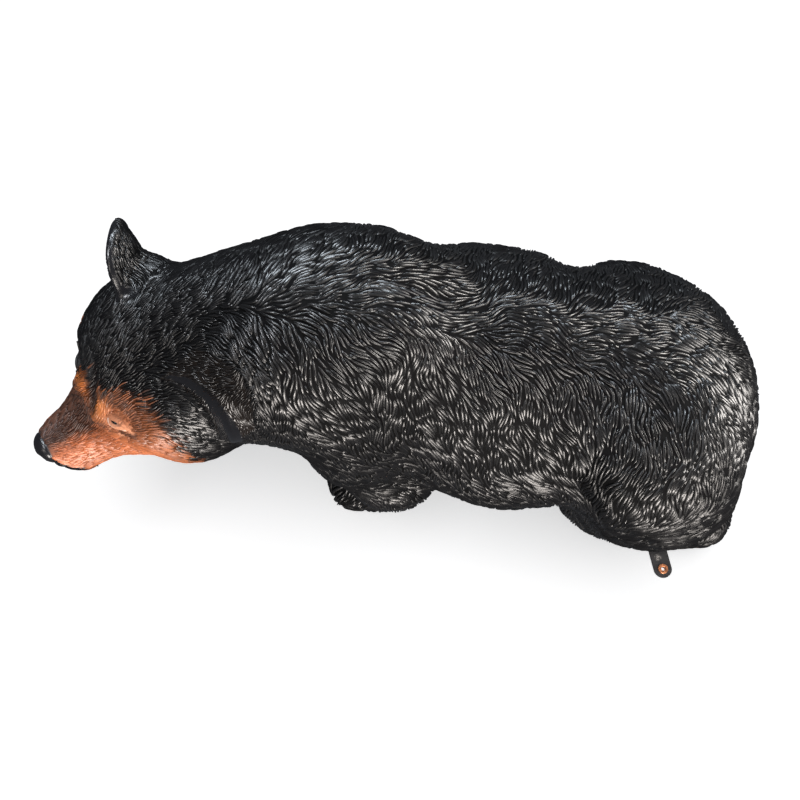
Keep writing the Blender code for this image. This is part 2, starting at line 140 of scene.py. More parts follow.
# The head's own masses, from a point between the ears: forward, left, up
SKULL = ((0.8, 0.0, -0.8), (9.2, 9.9, 8.1))
RUFF = ((0.9, 6.9, -2.6), (8.0, 6.5, 8.6))
FOREHEAD = ((5.0, 0.0, 1.3), (7.0, 9.3, 4.6))
MIDFACE = ((7.6, 0.0, -3.4), (7.6, 7.8, 4.8))
BROW = ((8.7, 2.9, 1.9), (3.0, 2.3, 2.0))
MUZZLE = ((8.5, 0.0, -2.0), (17.6, 0.0, -3.3), 4.4, 3.7)
JAW = ((7.5, 0.0, -6.5), (15.5, 0.0, -7.6), 3.6, 2.3)
FLEWS = ((9.0, 3.2, -4.6), (17.0, 1.8, -5.0), 2.1, 2.45)
NOSE = ((19.8, 0.0, -1.5), (1.8, 2.3, 1.8))
EYE_DENT = ((10.0, 5.2, 4.5), (1.5, 1.5, 1.2))
EYE = ((8.75, 4.95, 3.2), (1.1, 1.1, 1.1))

# Each ear: place of its root, and how it leans out, back and round, in degrees
EARS = (
    {"root": (-3.3, 9.2, 0.7), "out": 23.0, "back": 7.0, "turn": 2.0, "side": 1},
    {"root": (-2.8, 7.7, 4.2), "out": 34.1, "back": 9.5, "turn": 22.9, "side": -1},
)
EAR_HIGH = 8.8
EAR_HALF_WIDE = 4.6
EAR_HALF_DEEP = 1.15
EAR_MIDDLE = 0.42
EAR_CENTRE = EAR_HIGH * EAR_MIDDLE
EAR_HALF_HIGH = EAR_HIGH * (1 - EAR_MIDDLE)
EAR_CURL = 1.5
EAR_CURL_MOST = 2.4
EAR_ROOT = ((-0.8, 0.0, 0.6), (2.2, 3.4, 3.2))
EAR_CUP = ((1.5, 0.0, 3.6), (1.45, 3.0, 3.7))
EAR_ROLL = 0.62
EAR_ROLL_AT = 0.92
EAR_SOFT = 1.2


def blend(a, b, width):
    """The union of two distances, rounded over the width."""
    h = np.clip(0.5 + 0.5 * (b - a) / width, 0, 1)
    return b + (a - b) * h - width * h * (1 - h)


def carve(a, b, width):
    """The first distance with the second taken away, rounded over the width."""
    return -blend(-a, b, width)


def ball(p, mass):
    """Distance to an ellipsoid of a centre, half sizes and perhaps a tilt."""
    at, half, tilt = (*mass, 0)[:3]
    q = p - np.asarray(at, float)
    if tilt:
        c, s = math.cos(math.radians(tilt)), math.sin(math.radians(tilt))
        q = np.stack([q[:, 0] * c + q[:, 2] * s, q[:, 1], q[:, 2] * c - q[:, 0] * s], 1)
    half = np.asarray(half, float)
    k0 = np.sqrt(((q / half) ** 2).sum(1))
    k1 = np.sqrt(((q / half**2) ** 2).sum(1))
    return np.where(k0 < 1e-6, -half.min(), k0 * (k0 - 1) / np.maximum(k1, 1e-9))


def limb(p, bone):
    """Distance to a round cone along a bone with a radius at each end."""
    a, b, ra, rb = bone
    a, b = np.asarray(a, float), np.asarray(b, float)
    along = b - a
    long2 = along @ along
    drop = ra - rb
    slant2 = max(long2 - drop * drop, 1e-6)
    q = p - a
    y = q @ along
    z = y - long2
    x2 = ((q * long2 - np.outer(y, along)) ** 2).sum(1)
    y2, z2 = y * y * long2, z * z * long2
    k = np.sign(drop) * drop * drop * x2
    d = (np.sqrt(x2 * slant2 / long2) + y * drop) / long2 - ra
    d = np.where(np.sign(y) * slant2 * y2 < k, np.sqrt(x2 + y2) / long2 - ra, d)
    return np.where(np.sign(z) * slant2 * z2 > k, np.sqrt(x2 + z2) / long2 - rb, d)


def mirrored(p):
    """The same points with left and right exchanged."""
    return p * [1, -1, 1]


def folded(p):
    """The same points with both sides laid on the left."""
    return np.stack([p[:, 0], np.abs(p[:, 1]), p[:, 2]], 1)


def head_axes():
    """Forward, left and up of the head, as rows."""
    y, p, r = np.radians([HEAD_YAW, HEAD_PITCH, HEAD_ROLL])
    forward = np.array([-np.cos(p) * np.cos(y), -np.cos(p) * np.sin(y), -np.sin(p)])
    left = np.array([np.sin(y), -np.cos(y), 0.0])
    up = np.cross(forward, left)
    return np.array([forward, left * np.cos(r) + up * np.sin(r), up * np.cos(r) - left * np.sin(r)])


def to_head(p):
    return (p - np.array(HEAD_AT)) @ head_axes().T


def from_head(q):
    return np.asarray(q, float) @ head_axes() + np.array(HEAD_AT)


def paw(p, mass):
    """A flat-soled paw with five toes at its front."""
    (x, y, z), (long, _, _) = mass
    d = ball(p, mass)
    for toe in TOES:
        at = (x - long * TOES_FORWARD + TOES_ROUND * toe * toe, y + toe * TOE_PITCH, z - TOES_LOW)
        d = blend(d, ball(p, (at, TOE_HALF)), TOES_SOFT)
    return d


def leg(p, masses):
    """A leg of an upper mass, a joint, a lower bone and a paw."""
    upper, joint, bone, foot = masses.values()
    d = blend(ball(p, upper), ball(p, joint), LEG_SOFT)
    d = blend(d, limb(p, bone), LEG_SOFT)
    return blend(d, paw(p, foot), PAW_SOFT)


def torso(p):
    sides = folded(p)
    d = blend(ball(p, BARREL), ball(p, CHEST), TORSO_SOFT)
    d = blend(d, ball(p, BELLY), BELLY_SOFT)
    d = blend(d, ball(p, RUMP), TORSO_SOFT)
    d = blend(d, ball(p, FAR_HIP), HIP_SOFT)
    d = blend(d, ball(sides, HUMP), TORSO_SOFT)
    return blend(d, ball(p, TAIL), TAIL_SOFT)


def ear_curl(across):
    """How far forward an ear's sides bend."""
    return np.minimum(EAR_CURL * (across / EAR_HALF_WIDE) ** 2, EAR_CURL_MOST)


def ear_place(q, shape):
    """Points of the head in an ear's curled frame (out of its face, across, up), and the frame's axes."""
    out, back, turn = np.radians([shape["out"], shape["back"], shape["turn"]])
    high = np.array([-np.sin(back), np.cos(back) * np.sin(out), np.cos(back) * np.cos(out)])
    face = np.array([np.cos(turn), np.sin(turn), 0.0])
    face = face - (face @ high) * high
    face /= np.linalg.norm(face)
    axes = np.array([face, np.cross(high, face), high])
    bent = (q * [1, shape["side"], 1] - np.array(shape["root"])) @ axes.T
    bent[:, 0] -= ear_curl(bent[:, 1])
    return bent, axes


def ear_ring(bent):
    """How far out on an ear each point lies: 1 is the ear's edge."""
    return np.hypot(bent[:, 1] / EAR_HALF_WIDE, (bent[:, 2] - EAR_CENTRE) / EAR_HALF_HIGH)


def off_rim(bent):
    """How far outside the rim's middle line each point of an ear lies."""
    from_centre = np.hypot(bent[:, 1], bent[:, 2] - EAR_CENTRE)
    return from_centre * (1 - EAR_ROLL_AT / np.maximum(ear_ring(bent), 1e-6))


def ear(q, shape):
    """A curled ear with a rolled rim, a cup in front and a flared root."""
    bent, _ = ear_place(q, shape)
    d = ball(bent, ((0, 0, EAR_CENTRE), (EAR_HALF_DEEP, EAR_HALF_WIDE, EAR_HALF_HIGH)))
    d = blend(d, np.hypot(off_rim(bent), bent[:, 0]) - EAR_ROLL, EAR_SOFT / 2)
    unbent = bent.copy()
    unbent[:, 0] += ear_curl(bent[:, 1])
    d = blend(d, ball(unbent, EAR_ROOT), EAR_SOFT)
    return carve(d, ball(bent, EAR_CUP), EAR_SOFT / 2)


def head(p):
    q = to_head(p)
    m = folded(q)
    d = blend(ball(q, SKULL), ball(m, RUFF), HEAD_SOFT)
    d = blend(d, ball(q, FOREHEAD), HEAD_SOFT)
    d = blend(d, ball(q, MIDFACE), MUZZLE_SOFT)
    d = blend(d, ball(m, BROW), MUZZLE_SOFT / 2)
    d = blend(d, limb(q, MUZZLE), MUZZLE_SOFT)
    d = blend(d, limb(q, JAW), LIPS_SOFT)
    d = blend(d, limb(m, FLEWS), LIPS_SOFT)
    d = blend(d, ball(q, NOSE), LIPS_SOFT / 2)
    d = carve(d, ball(m, EYE_DENT), LIPS_SOFT / 2)
    d = blend(d, ball(m, EYE), EYE_SOFT)
    for shape in EARS:
        d = blend(d, ear(q, shape), EAR_SOFT)
    return d


def body(p):
    """Signed distance to the trunk, legs and neck."""
    d = torso(p)
    d = blend(d, leg(p, FORELEG), FORELEG_SOFT)
    d = blend(d, leg(mirrored(p), RIGHT_FORELEG), FORELEG_SOFT)
    d = blend(d, leg(p, HINDLEG), HINDLEG_SOFT)
    d = blend(d, leg(mirrored(p), RIGHT_HINDLEG), HINDLEG_SOFT)
    d = blend(d, limb(p, (NECK[0], from_head(NAPE), NECK[1], NECK[2])), NECK_SOFT)
    sides = folded(p)
    for crease in CREASES:
        d = carve(d, limb(sides, crease), CREASE_SOFT)
    return d


# The face's own forms, in the head's frame: forward, left, up
# The face is shifted this much to the left, fading out before its front and back
FACE_SHIFT = 0.8
SHIFT_FRONT, SHIFT_BACK = (17, 11), (3, 7)
# How much further back, out and down the far eye sits than the near one's mirror, and where that holds
FAR_EYE_BACK, FAR_EYE_OUT, FAR_EYE_DOWN = -0.6, 1.4, 1.5
FAR_EYE_ASIDE, FAR_EYE_ABOVE = (2.6, 5.0), (-2.0, 0.0)
BROW_RIDGE = ((9.8, 2.35, 3.55), (1.8, 1.35, 1.05))
FURROW = ((11.1, 2.1, 4.1), (8.3, -0.7, 6.5), 0.55, 0.6)
EYE_AT = (9.4, 4.7, 3.9)
EYE_FACES = (0.62, 0.42, 0.66)
EYE_ALONG = (-0.45, 0.89, 0.09)
NOSTRIL = ((21.35, 1.0, -1.3), (0.7, 0.42, 0.36))
MOUTH = ((20.6, 1.2, -3.2), (19.4, 2.9, -4.0), (17.2, 3.9, -5.6), (13.0, 4.6, -6.6), (9.3, 5.7, -6.0))
LIP_RADII = (1.3, 1.1, 0.45, 0.12, 0.02)
LOWER_LIP = ((20.7, 1.2, -0.7), (20.5, 2.2, -1.8), (20.0, 2.9, -2.6), (19.2, 3.4, -3.4))
LOWER_LIP_RADII = (0.85, 0.8, 0.6, 0.2)
MOUTH_CUT_RADII = (0.22, 0.2, 0.18, 0.15, 0.1)
# The nose pad: its edge and how that slants, its half width, its lower end, and the groove round it
PAD_EDGE, PAD_SLANT, PAD_HALF_WIDE, PAD_LOW = 19.5, 0.35, 3.2, (-4.5, -3.5)
PAD_GROOVE_DEEP, PAD_GROOVE_WIDE = 0.12, 0.2
BROW_SOFT, LID_SOFT, SLIT_SOFT, MOUTH_SOFT = 0.9, 0.35, 0.12, 0.3
# The near ear's fuller rim, and from how far up the ear it runs
ROLL_OUT, ROLL_RADIUS, ROLL_FROM, ROLL_SOFT = 0.35, 0.85, 1.6, 0.3
# An ear's smooth rim starts this far out, on the left and on the right ear
RIM_FROM = {1: 0.80, -1: 0.99}
# How far from the head's middle its forms, its skin and its paint reach, and where the face starts
FORM_REACH, HEAD_REACH, SEAM_REACH, FACE_FROM = 32, 27, 26, 3

# In the eye's own frame: along the slit, up, out of the face
EYE_MIDDLE = (0.35, -0.2, 0)
EYE_HOLLOW = ((0.3, -0.2, 0.5), (2.6, 1.7, 0.75))
LID = ((0.1, -0.25, -0.75), (1.75, 1.05, 1.25))
SLIT = ((-0.85, 0.22, 0.42), (0.8, 0.02, 0.42), 0.17, 0.2)
OUTER_FOLD = ((0.95, 0.35, 0.1), (2.3, -0.75, -0.35), 0.26, 0.2)
UNDER_FOLD = ((-1.0, 0.1, 0), (-0.55, -0.55, 0), (0.4, -0.95, 0), (1.3, -0.95, 0))
# The line under each eye where a crease's shadow is painted
UNDER_EYE_SHADE_LINE = ((0.5, -1.4, 0), (1.3, -1.6, 0), (2.4, -1.35, 0))
EYEBALL_HALF = (1.05, 0.6, 0.85)
EYEBALL_SINK = 0.62

# The black of the head ends here: how far forward, against how far to the left
TAN_EDGE = (
    (-13.0, 4.5), (-11.0, 5.2), (-9.0, 7.6), (-7.0, 11.6), (-5.0, 11.2), (-2.6, 9.4), (-1.0, 9.5), (0.6, 9.7),
    (1.6, 8.7), (3.7, 6.3), (6.8, 4.6), (9.1, 4.4), (10.9, 4.3), (12.0, 4.6), (13.0, 5.0),
)

# The skin's mesh sizes and the fur's strokes, in the figure's units
BODY_STEP = 0.66
HEAD_STEP = 0.26
FINE_PARTS = 4
# How near the eyes, and from how far forward, the skin is fine
EYE_FINE, MUZZLE_FINE = 3.6, 17.0
# The head's skin starts here, and the body's ends a little in front
HEAD_FROM = -6.0
SEAM_LAP = 0.6
SKIN_SINK = 0.10
STROKE_LENGTHS = (2.7, 1.7, 1.1)
STROKE_HALF_WIDE = 0.17
STROKE_HIGH = 0.35
STROKE_SINK = 0.07
APART_ALONG = 0.88
APART_ACROSS = 0.28
STROKE_WIDTHS = (0.3, 0.85, 1.0, 1.0, 0.9, 0.65, 0.1)
STROKE_HEIGHTS = (0.0, 0.85, 1.0, 1.0, 0.97, 0.85, 0.0)
# Each station's share of the crest level: low at a stroke's ends, which so take more of the grooves' painted
# shade and dullness
STROKE_CREST_LEVELS = (0.3, 0.9, 1.0, 1.0, 1.0, 0.9, 0.5)
STATIONS = len(STROKE_WIDTHS)
# How single strokes vary: length, width, height, and the crest to the side
LENGTHS_VARY, WIDTHS_VARY, HEIGHTS_VARY, CRESTS_VARY = (0.95, 1.2), (0.85, 1.2), (0.75, 1.2), (-0.25, 0.25)
# Places tried on the body's and on the head's skin, as shares of all
CANDIDATES = 290000
SEED_SHARES = (0.82, 0.35)
SEED = 11
# No strokes on skin that faces down so far, nor strokes with a longer gap between stations
FACES_DOWN = -0.97
GAP_MOST = 0.5 * STROKE_LENGTHS[0]
SHORT_SLIM = 0.2
MOST_TRIANGLES = 180000
SKIN_ROUNDS, FACE_ROUNDS = (0.6, 0.4, 0.0, 0.0), (0.0, 0.2, 0.0)


def rows(text):
    """A table of six numbers to a row."""
    return np.array(text.split(), float).reshape(-1, 6)


# Which way the fur lies: place, then direction. Head rows are in the head's frame and hold for both sides.
HEAD_COMB = rows("""
    18.1 2.7 -0.8 -0.9 0.39 -0.22  14.9 1.2 1 -0.93 0.08 0.35  9.8 2.6 4.7 -0.77 -0.25 0.59
    7.2 4.9 5.8 -0.85 0.39 0.35  5.1 7.8 5.7 -0.74 0.67 0.05  9.7 7.6 0.7 -0.8 0.45 0.1
    6.6 11.4 -1.2 -0.55 0.5 -0.67  6.5 0.9 7 -0.82 -0.1 0.47  4 3.1 7.9 -0.88 0.28 0.38
    2.2 0.8 9 -0.93 0.1 0.35  1 5.8 9 -0.73 0.42 0.54  -2.4 3.8 11.1 -0.84 0.31 0.44
    -0.3 8.7 9.9 -0.52 0.63 0.57  1.6 11.9 4.4 -0.57 0.66 -0.49  2.2 13.4 -0.8 -0.46 0.17 -0.87
    -4.5 17.7 6.9 0.31 -0.17 -0.94  15.0 3.6 -2.5 -0.95 0.2 -0.1  11.0 4.5 -8.0 -0.9 0.2 -0.2
    4.0 6.0 -11.0 -0.9 0.2 -0.3  14.0 0.0 -11.0 -1 0 -0.1  3.0 0.0 -11.5 -1 0 -0.2
""")
BODY_COMB = rows("""
    -10.2 -3 54.7 0.92 0.38 0.08  -6.1 -0.7 54.6 0.87 0.47 -0.18  -3.7 -2.2 54.3 0.98 0.09 -0.2
    -0.4 -1.9 53.4 0.94 -0.06 -0.35  3 -1.4 51.8 0.81 0.27 -0.52  6.5 -1.2 49.7 0.88 0.2 -0.43
    -2.1 -7.2 52.4 0.76 -0.37 -0.54  -5.2 -9.6 51.6 0.6 -0.49 -0.63  -0.7 -10.3 48.6 0.45 -0.31 -0.84
    -6.2 -12.8 47.9 0.58 -0.26 -0.77  -10.6 -11.8 50 0.33 -0.6 -0.73  -13 -9.3 51.9 0.57 -0.73 -0.39
    -10.1 -14.7 39.4 0.31 0.07 -0.95  -4 -14.6 40.4 0.62 0.01 -0.79  -2.1 -14.1 24.8 0.73 0.05 -0.69
    -8.6 -7.1 4.6 -0.6 -0.5 -0.6  2.2 -5.2 51.6 0.62 -0.47 -0.63  2.5 -8.6 48.4 0.22 -0.48 -0.85
    5.8 -6.8 47.9 0.38 -0.51 -0.77  9.6 -8.7 44.4 0.31 -0.62 -0.71  1.1 -11.7 43.7 0.12 -0.28 -0.95
    3.9 -11 42.7 0.19 -0.33 -0.93  5.5 -13.3 35.9 0.35 -0.19 -0.91  8.4 -14.4 29.9 0.51 -0.14 -0.85
    11.3 -11.8 40 0.32 -0.4 -0.86  14.6 -1.2 48.1 0.99 0.06 -0.11  22.9 -1 46.6 0.99 0.05 -0.14
    27.1 0.9 46.1 0.98 0.12 -0.16  32.8 -0.2 45 0.9 -0.36 -0.24  37.3 -3 43.3 0.73 -0.55 -0.41
    40 -6.3 41 0.43 -0.68 -0.59  17.6 -4.7 46.4 0.76 -0.49 -0.42  25.8 -3.6 45.8 0.9 -0.41 -0.17
    30 -5.9 44.9 0.8 -0.56 -0.22  12.5 -8.6 44.2 0.42 -0.6 -0.68  19.5 -9 43.1 0.34 -0.71 -0.62
    26.2 -10 43.3 0.23 -0.88 -0.42  33 -10.7 42.9 0.19 -0.87 -0.45  37.9 -12 40 0.06 -0.77 -0.63
    22.8 -13.3 40 0.3 -0.74 -0.6  16 -12 38.9 0.35 -0.46 -0.81  15.5 -14.8 31.4 0.68 -0.17 -0.72
    19.6 -15.2 33.7 0.66 -0.42 -0.63  24.7 -16.6 37.2 -0.28 -0.35 -0.89  28.8 -17.7 37.3 -0.41 -0.39 -0.82
    32.6 -16.4 38.8 -0.13 -0.62 -0.77  37.9 -17.4 29.2 -0.88 -0.34 0.1  29.7 -18.2 26.3 -0.5 0.14 -0.85
    40.4 -15.6 31 -0.75 -0.49 0.1  38 -14.8 37.2 -0.05 -0.6 -0.8  44 -9 30 0.1 -0.2 -1  44.5 -4 22 -0.1 0 -1
    42 -8 12 -0.1 0 -1  33 -12 14 -0.1 0 -1  40 -9 5 -0.8 -0.2 -0.4  10 -12 20 0.7 0.3 -0.6
    22 -10 16 0.6 0.4 -0.4  10 0 14 1 0 0  22 0 13 1 0 0  0 -9 14 0.1 0 -1  -2 -7 8 -0.1 0 -1
    -14 -3 30 0.1 0 -1  -12 0 22 0.5 0 -0.8  43 -1.5 26 0 0 -1  42.5 1 37 0.3 0 -0.95  -4 -3 10 -0.1 0 -1
    36 -4 12 -0.1 0 -1  -16.0 -12.5 44.0 0.2 -0.1 -0.97  -14.0 -13.5 36.0 0.2 0.05 -0.97
    -5.0 -15.0 32.0 0.5 0 -0.85
""")
FAR_COMB = rows("""
    -4.6 6.3 52.4 0.2 0.75 -0.66  -8.9 4.5 53.4 0.33 0.85 -0.42  8.5 7 47.5 0.12 0.83 -0.54
    2.4 5.8 51 0.15 0.75 -0.66  11.6 6 47.7 0.23 0.88 -0.4  17.2 5.9 47 0.23 0.87 -0.44
    23 5.5 45.9 0.32 0.85 -0.42  28.8 5.7 44.8 0.39 0.82 -0.41  37.7 2 42.8 0.7 -0.1 -0.4
    5.1 1.9 50.6 0.86 0.15 -0.48  -14 3 52 0.5 0.7 -0.4  -19 4 49 0.6 0.6 -0.4
""")


def smoothstep(low, high, value):
    t = np.clip((value - low) / (high - low), 0, 1)
    return t * t * (3 - 2 * t)


def unit(v):
    return v / np.maximum(np.linalg.norm(v, axis=-1, keepdims=True), 1e-9)


def face_frame(q):
    """The head's points with the face's shift taken out, and the same with the far side laid on the near."""
    shift = FACE_SHIFT * smoothstep(*SHIFT_FRONT, q[:, 0]) * smoothstep(*SHIFT_BACK, q[:, 0])
    f = np.stack([q[:, 0], q[:, 1] - shift, q[:, 2]], 1)
    aside = np.abs(f[:, 1])
    eye = smoothstep(*FAR_EYE_ASIDE, aside) * smoothstep(*FAR_EYE_ABOVE, f[:, 2]) * (f[:, 1] < 0)
    m = [f[:, 0] + FAR_EYE_BACK * eye, aside - FAR_EYE_OUT * eye, f[:, 2] + FAR_EYE_DOWN * eye]
    return f, np.stack(m, 1)


def near_head(q):
    return np.linalg.norm(q, axis=1) < HEAD_REACH


def eye_axes():
    """Along the slit, up the lid, and out of the face, as rows."""
    out = unit(np.array(EYE_FACES))
    along = np.array(EYE_ALONG)
    along = unit(along - (along @ out) * out)
    return np.array([along, np.cross(out, along), out])


def chain(p, points, radii):
    """Distance to a bent line with a radius at each point."""
    d = np.full(len(p), 99.0)
    for a, b, ra, rb in zip(points, points[1:], radii, radii[1:]):
        d = np.minimum(d, limb(p, (a, b, ra, rb)))
    return d


def thin_line(p, points):
    return chain(p, points, [0.0] * len(points))


def eye_place(m):
    """Points of the face in the eye's own frame."""
    return (m - np.array(EYE_AT)) @ eye_axes().T


def nose_pad(q):
    """How far forward of the nose pad's edge each point is."""
    return q[:, 0] - PAD_EDGE + PAD_SLANT * np.minimum(q[:, 2], 0)


def carved_face(q, d):
    """Brows, lids, furrow, nostrils and mouth worked into the head's distance."""
    _, m = face_frame(q)
    d = blend(d, ball(m, BROW_RIDGE), BROW_SOFT)
    d = carve(d, limb(q, FURROW), BROW_SOFT)
    e = eye_place(m)
    d = carve(d, ball(e, EYE_HOLLOW), BROW_SOFT)
    d = blend(d, ball(e, LID), LID_SOFT)
    d = blend(d, limb(e, OUTER_FOLD), LID_SOFT)
    d = carve(d, limb(e, SLIT), SLIT_SOFT)
    d = carve(d, ball(m, NOSTRIL), MOUTH_SOFT)
    groove = PAD_GROOVE_DEEP * np.exp(-((nose_pad(q) / PAD_GROOVE_WIDE) ** 2))
    d = d + groove * (np.abs(q[:, 1]) < PAD_HALF_WIDE) * smoothstep(*PAD_LOW, q[:, 2])
    return carve(d, chain(m, MOUTH, MOUTH_CUT_RADII), MOUTH_SOFT)


def near_roll(q):
    """The rolled rim of the ear on the photographed side, fuller than in the solid."""
    e, _ = ear_place(q, EARS[0])
    below = 2 * smoothstep(ROLL_FROM + 1, ROLL_FROM, e[:, 2])
    return np.hypot(off_rim(e), e[:, 0] - ROLL_OUT) - ROLL_RADIUS + below


def skin_form(p):
    """Signed distance to the finished skin."""
    d = body(p)
    near = np.linalg.norm(p - np.array(HEAD_AT), axis=1) < FORM_REACH
    if near.any():
        d[near] = blend(d[near], head(p[near]), HEAD_SOFT)
        q = to_head(p[near])
        d[near] = blend(d[near], near_roll(q), ROLL_SOFT)
        face = q[:, 0] > FACE_FROM
        if face.any():
            at = np.flatnonzero(near)[face]
            d[at] = carved_face(q[face], d[at])
    return d + SKIN_SINK


def slope_of(points, surface, reach=0.06):
    rises = [surface(points + reach * e) - surface(points - reach * e) for e in np.eye(3)]
    return np.stack(rises, 1) / (2 * reach)


def onto(points, surface, most=1.0):
    """Points moved onto a surface, by no more than so far, and the surface's normals there."""
    slope = slope_of(points, surface)
    steep = np.maximum((slope**2).sum(1), 0.25)
    step = (surface(points) / steep)[:, None] * slope
    reach = np.linalg.norm(step, axis=1, keepdims=True)
    return points - step * np.minimum(1, most / np.maximum(reach, 1e-9)), unit(slope)


# Where the figure's own units lie in the frame: the eyelet says
low, high = (np.array(corner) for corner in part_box("tab_eyelet"))
PAW_AT, PAW_HALF = HINDLEG["paw"]
TAB_AT = np.array([PAW_AT[0] + TAB_BACK, PAW_AT[1] - PAW_HALF[1] * TAB_EDGE_SHARE]) * UNIT
TURN = math.radians(TAB_SKEW)
HOLE = TAB_OUT - EYELET_FROM_END
HOLE_OFF = HOLE * np.array([math.sin(TURN), -math.cos(TURN)])
FIGURE_AT = np.array([*((low + high)[:2] / 2 - TAB_AT - HOLE_OFF), 0.0])


def in_frame(p):
    return np.asarray(p) * UNIT + FIGURE_AT


def in_figure(p):
    return (np.asarray(p) - FIGURE_AT) / UNIT


def in_scene(name, data):
    obj = bpy.data.objects.new(name, data)
    bpy.context.scene.collection.objects.link(obj)
    return obj


def put(name, points, faces):
    """A smooth piece from points in the figure's units."""
    mesh = bpy.data.meshes.new(name)
    faces = faces.tolist() if hasattr(faces, "tolist") else faces
    mesh.from_pydata(in_frame(points).tolist(), [], faces)
    mesh.shade_smooth()
    return in_scene(name, mesh)


def even_mesh(step):
    """The CAD bear's surface as even quads."""
    obj = in_scene("even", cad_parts["bear"].data.copy())
    even = obj.modifiers.new("even", "REMESH")
    even.mode = "VOXEL"
    even.voxel_size = step * UNIT
    bpy.context.view_layer.update()
    mesh = bpy.data.meshes.new_from_object(obj.evaluated_get(bpy.context.evaluated_depsgraph_get()))
    bpy.data.objects.remove(obj)
    points = np.zeros(len(mesh.vertices) * 3)
    mesh.vertices.foreach_get("co", points)
    faces = np.zeros(len(mesh.loops), int)
    mesh.loops.foreach_get("vertex_index", faces)
    return in_figure(points.reshape(-1, 3)), faces.reshape(-1, 4)


def only(points, faces, keep):
    """The faces marked, and the points they use."""
    faces = faces[keep]
    used = np.unique(faces)
    number = np.full(len(points), -1)
    number[used] = np.arange(len(used))
    return points[used], number[faces]


def relaxed(points, faces, share):
    """Points moved a share of the way to the middle of their neighbours."""
    total = np.zeros_like(points)
    count = np.zeros(len(points))
    for k in range(4):
        a, b = faces[:, k], faces[:, (k + 1) % 4]
        np.add.at(total, a, points[b])
        np.add.at(total, b, points[a])
        np.add.at(count, a, 1)
        np.add.at(count, b, 1)
    return points + share * (total / count[:, None] - points)


def over_floor(points):
    """Points lifted to the ground, and over the strap in its pocket under the left hind foot."""
    axes = np.array([[math.cos(TURN), -math.sin(TURN)], [math.sin(TURN), math.cos(TURN)]])
    across, along = ((points[:, :2] * UNIT - TAB_AT) @ axes).T
    over = (np.abs(across) < TAB_WIDTH / 2 + FIT_GAP) & (along < TAB_IN + FIT_GAP) & (along > -TAB_OUT)
    floor = np.where(over, (TAB_THICK + 2 * FIT_GAP) / UNIT, 0.0)
    points[:, 2] = np.maximum(points[:, 2], floor)
    return points


def fine_part(middle):
    """True near the eyes and at the end of the muzzle, where the forms are small."""
    q = to_head(middle)
    _, m = face_frame(q)
    eyes = np.linalg.norm(m - np.array(EYE_AT), axis=1) < EYE_FINE
    return eyes | ((q[:, 0] > MUZZLE_FINE) & near_head(q))


def divided(points, faces, parts):
    """Each quad as a grid of smaller ones, with shared corners."""
    a, b, c, d = (points[faces[:, k]][:, None, None, :] for k in range(4))
    t = np.linspace(0, 1, parts + 1)
    u, v = t[None, :, None, None], t[None, None, :, None]
    grid = (a * (1 - u) + b * u) * (1 - v) + (d * (1 - u) + c * u) * v
    number = np.arange(len(faces) * (parts + 1) ** 2).reshape(len(faces), parts + 1, parts + 1)
    quads = np.stack([number[:, :-1, :-1], number[:, 1:, :-1], number[:, 1:, 1:], number[:, :-1, 1:]], -1)
    flat = grid.reshape(-1, 3)
    _, first, same = np.unique(np.round(flat, 4), axis=0, return_index=True, return_inverse=True)
    return flat[first], same.reshape(-1)[quads.reshape(-1, 4)]


def fitted(points, faces, rounds):
    """Points relaxed by each round's share, on the finished skin, and over the floor."""
    edge = np.bincount(faces.ravel(), minlength=len(points)) < 4
    for share in rounds:
        points = np.where(edge[:, None], points, relaxed(points, faces, share))
        sole = points[:, 2] < 0.05
        points = np.where(sole[:, None], points, onto(points, skin_form)[0])
    return over_floor(points)


def make_skin(step, wanted):
    points, faces = even_mesh(step)
    points, faces = only(points, faces, wanted(points[faces].mean(1)))
    return fitted(points, faces, SKIN_ROUNDS), faces


def comb():
    """Places and directions of the fur in the figure's units, for both sides."""
    at, way = [], []
    axes = head_axes()
    for row in HEAD_COMB:
        for side in (1, -1):
            at.append(from_head(row[:3] * [1, side, 1]))
            way.append((row[3:] * [1, side, 1]) @ axes)
    for row in np.concatenate([BODY_COMB, FAR_COMB]):
        at.append(row[:3])
        way.append(row[3:])
        if row[1] < -4 and (row[2] < 40 or row[0] > 30):
            at.append(mirrored(row[:3]))
            way.append(mirrored(row[3:]))
    return np.array(at), unit(np.array(way))


COMB_AT, COMB_WAY = comb()
# How sharply the nearest rows of the comb win over the others, and how many points are worked at once
COMB_NEAR, COMB_POWER, COMB_BATCH = 2.0, 2.2, 20000

# Waves of the coat: direction in space, length, turn in radians, phase; each sways along the body
WAVES = (
    ((0.8, 0.3, 0.5), 3.3, 0.24, 0.3), ((-0.2, 0.7, 0.7), 8.0, 0.13, 1.9), ((0.5, -0.8, 0.3), 2.7, 0.18, 4.0),
    ((0.9, 0.1, -0.4), 11.0, 0.15, 2.2), ((0.1, 0.5, -0.9), 3.9, 0.16, 5.1),
)
WAVE_SWAY, WAVE_SWAY_LONG = 0.9, 7
CALM_FACE = 0.45


def coat_turn(p):
    """How far the waves turn the fur at each point, in radians."""
    turn = np.zeros(len(p))
    for way, long, most, phase in WAVES:
        along = 2 * math.pi * (p @ unit(np.array(way))) / long
        turn += most * np.sin(along + phase + WAVE_SWAY * np.sin(p[:, 0] / WAVE_SWAY_LONG + phase))
    return turn


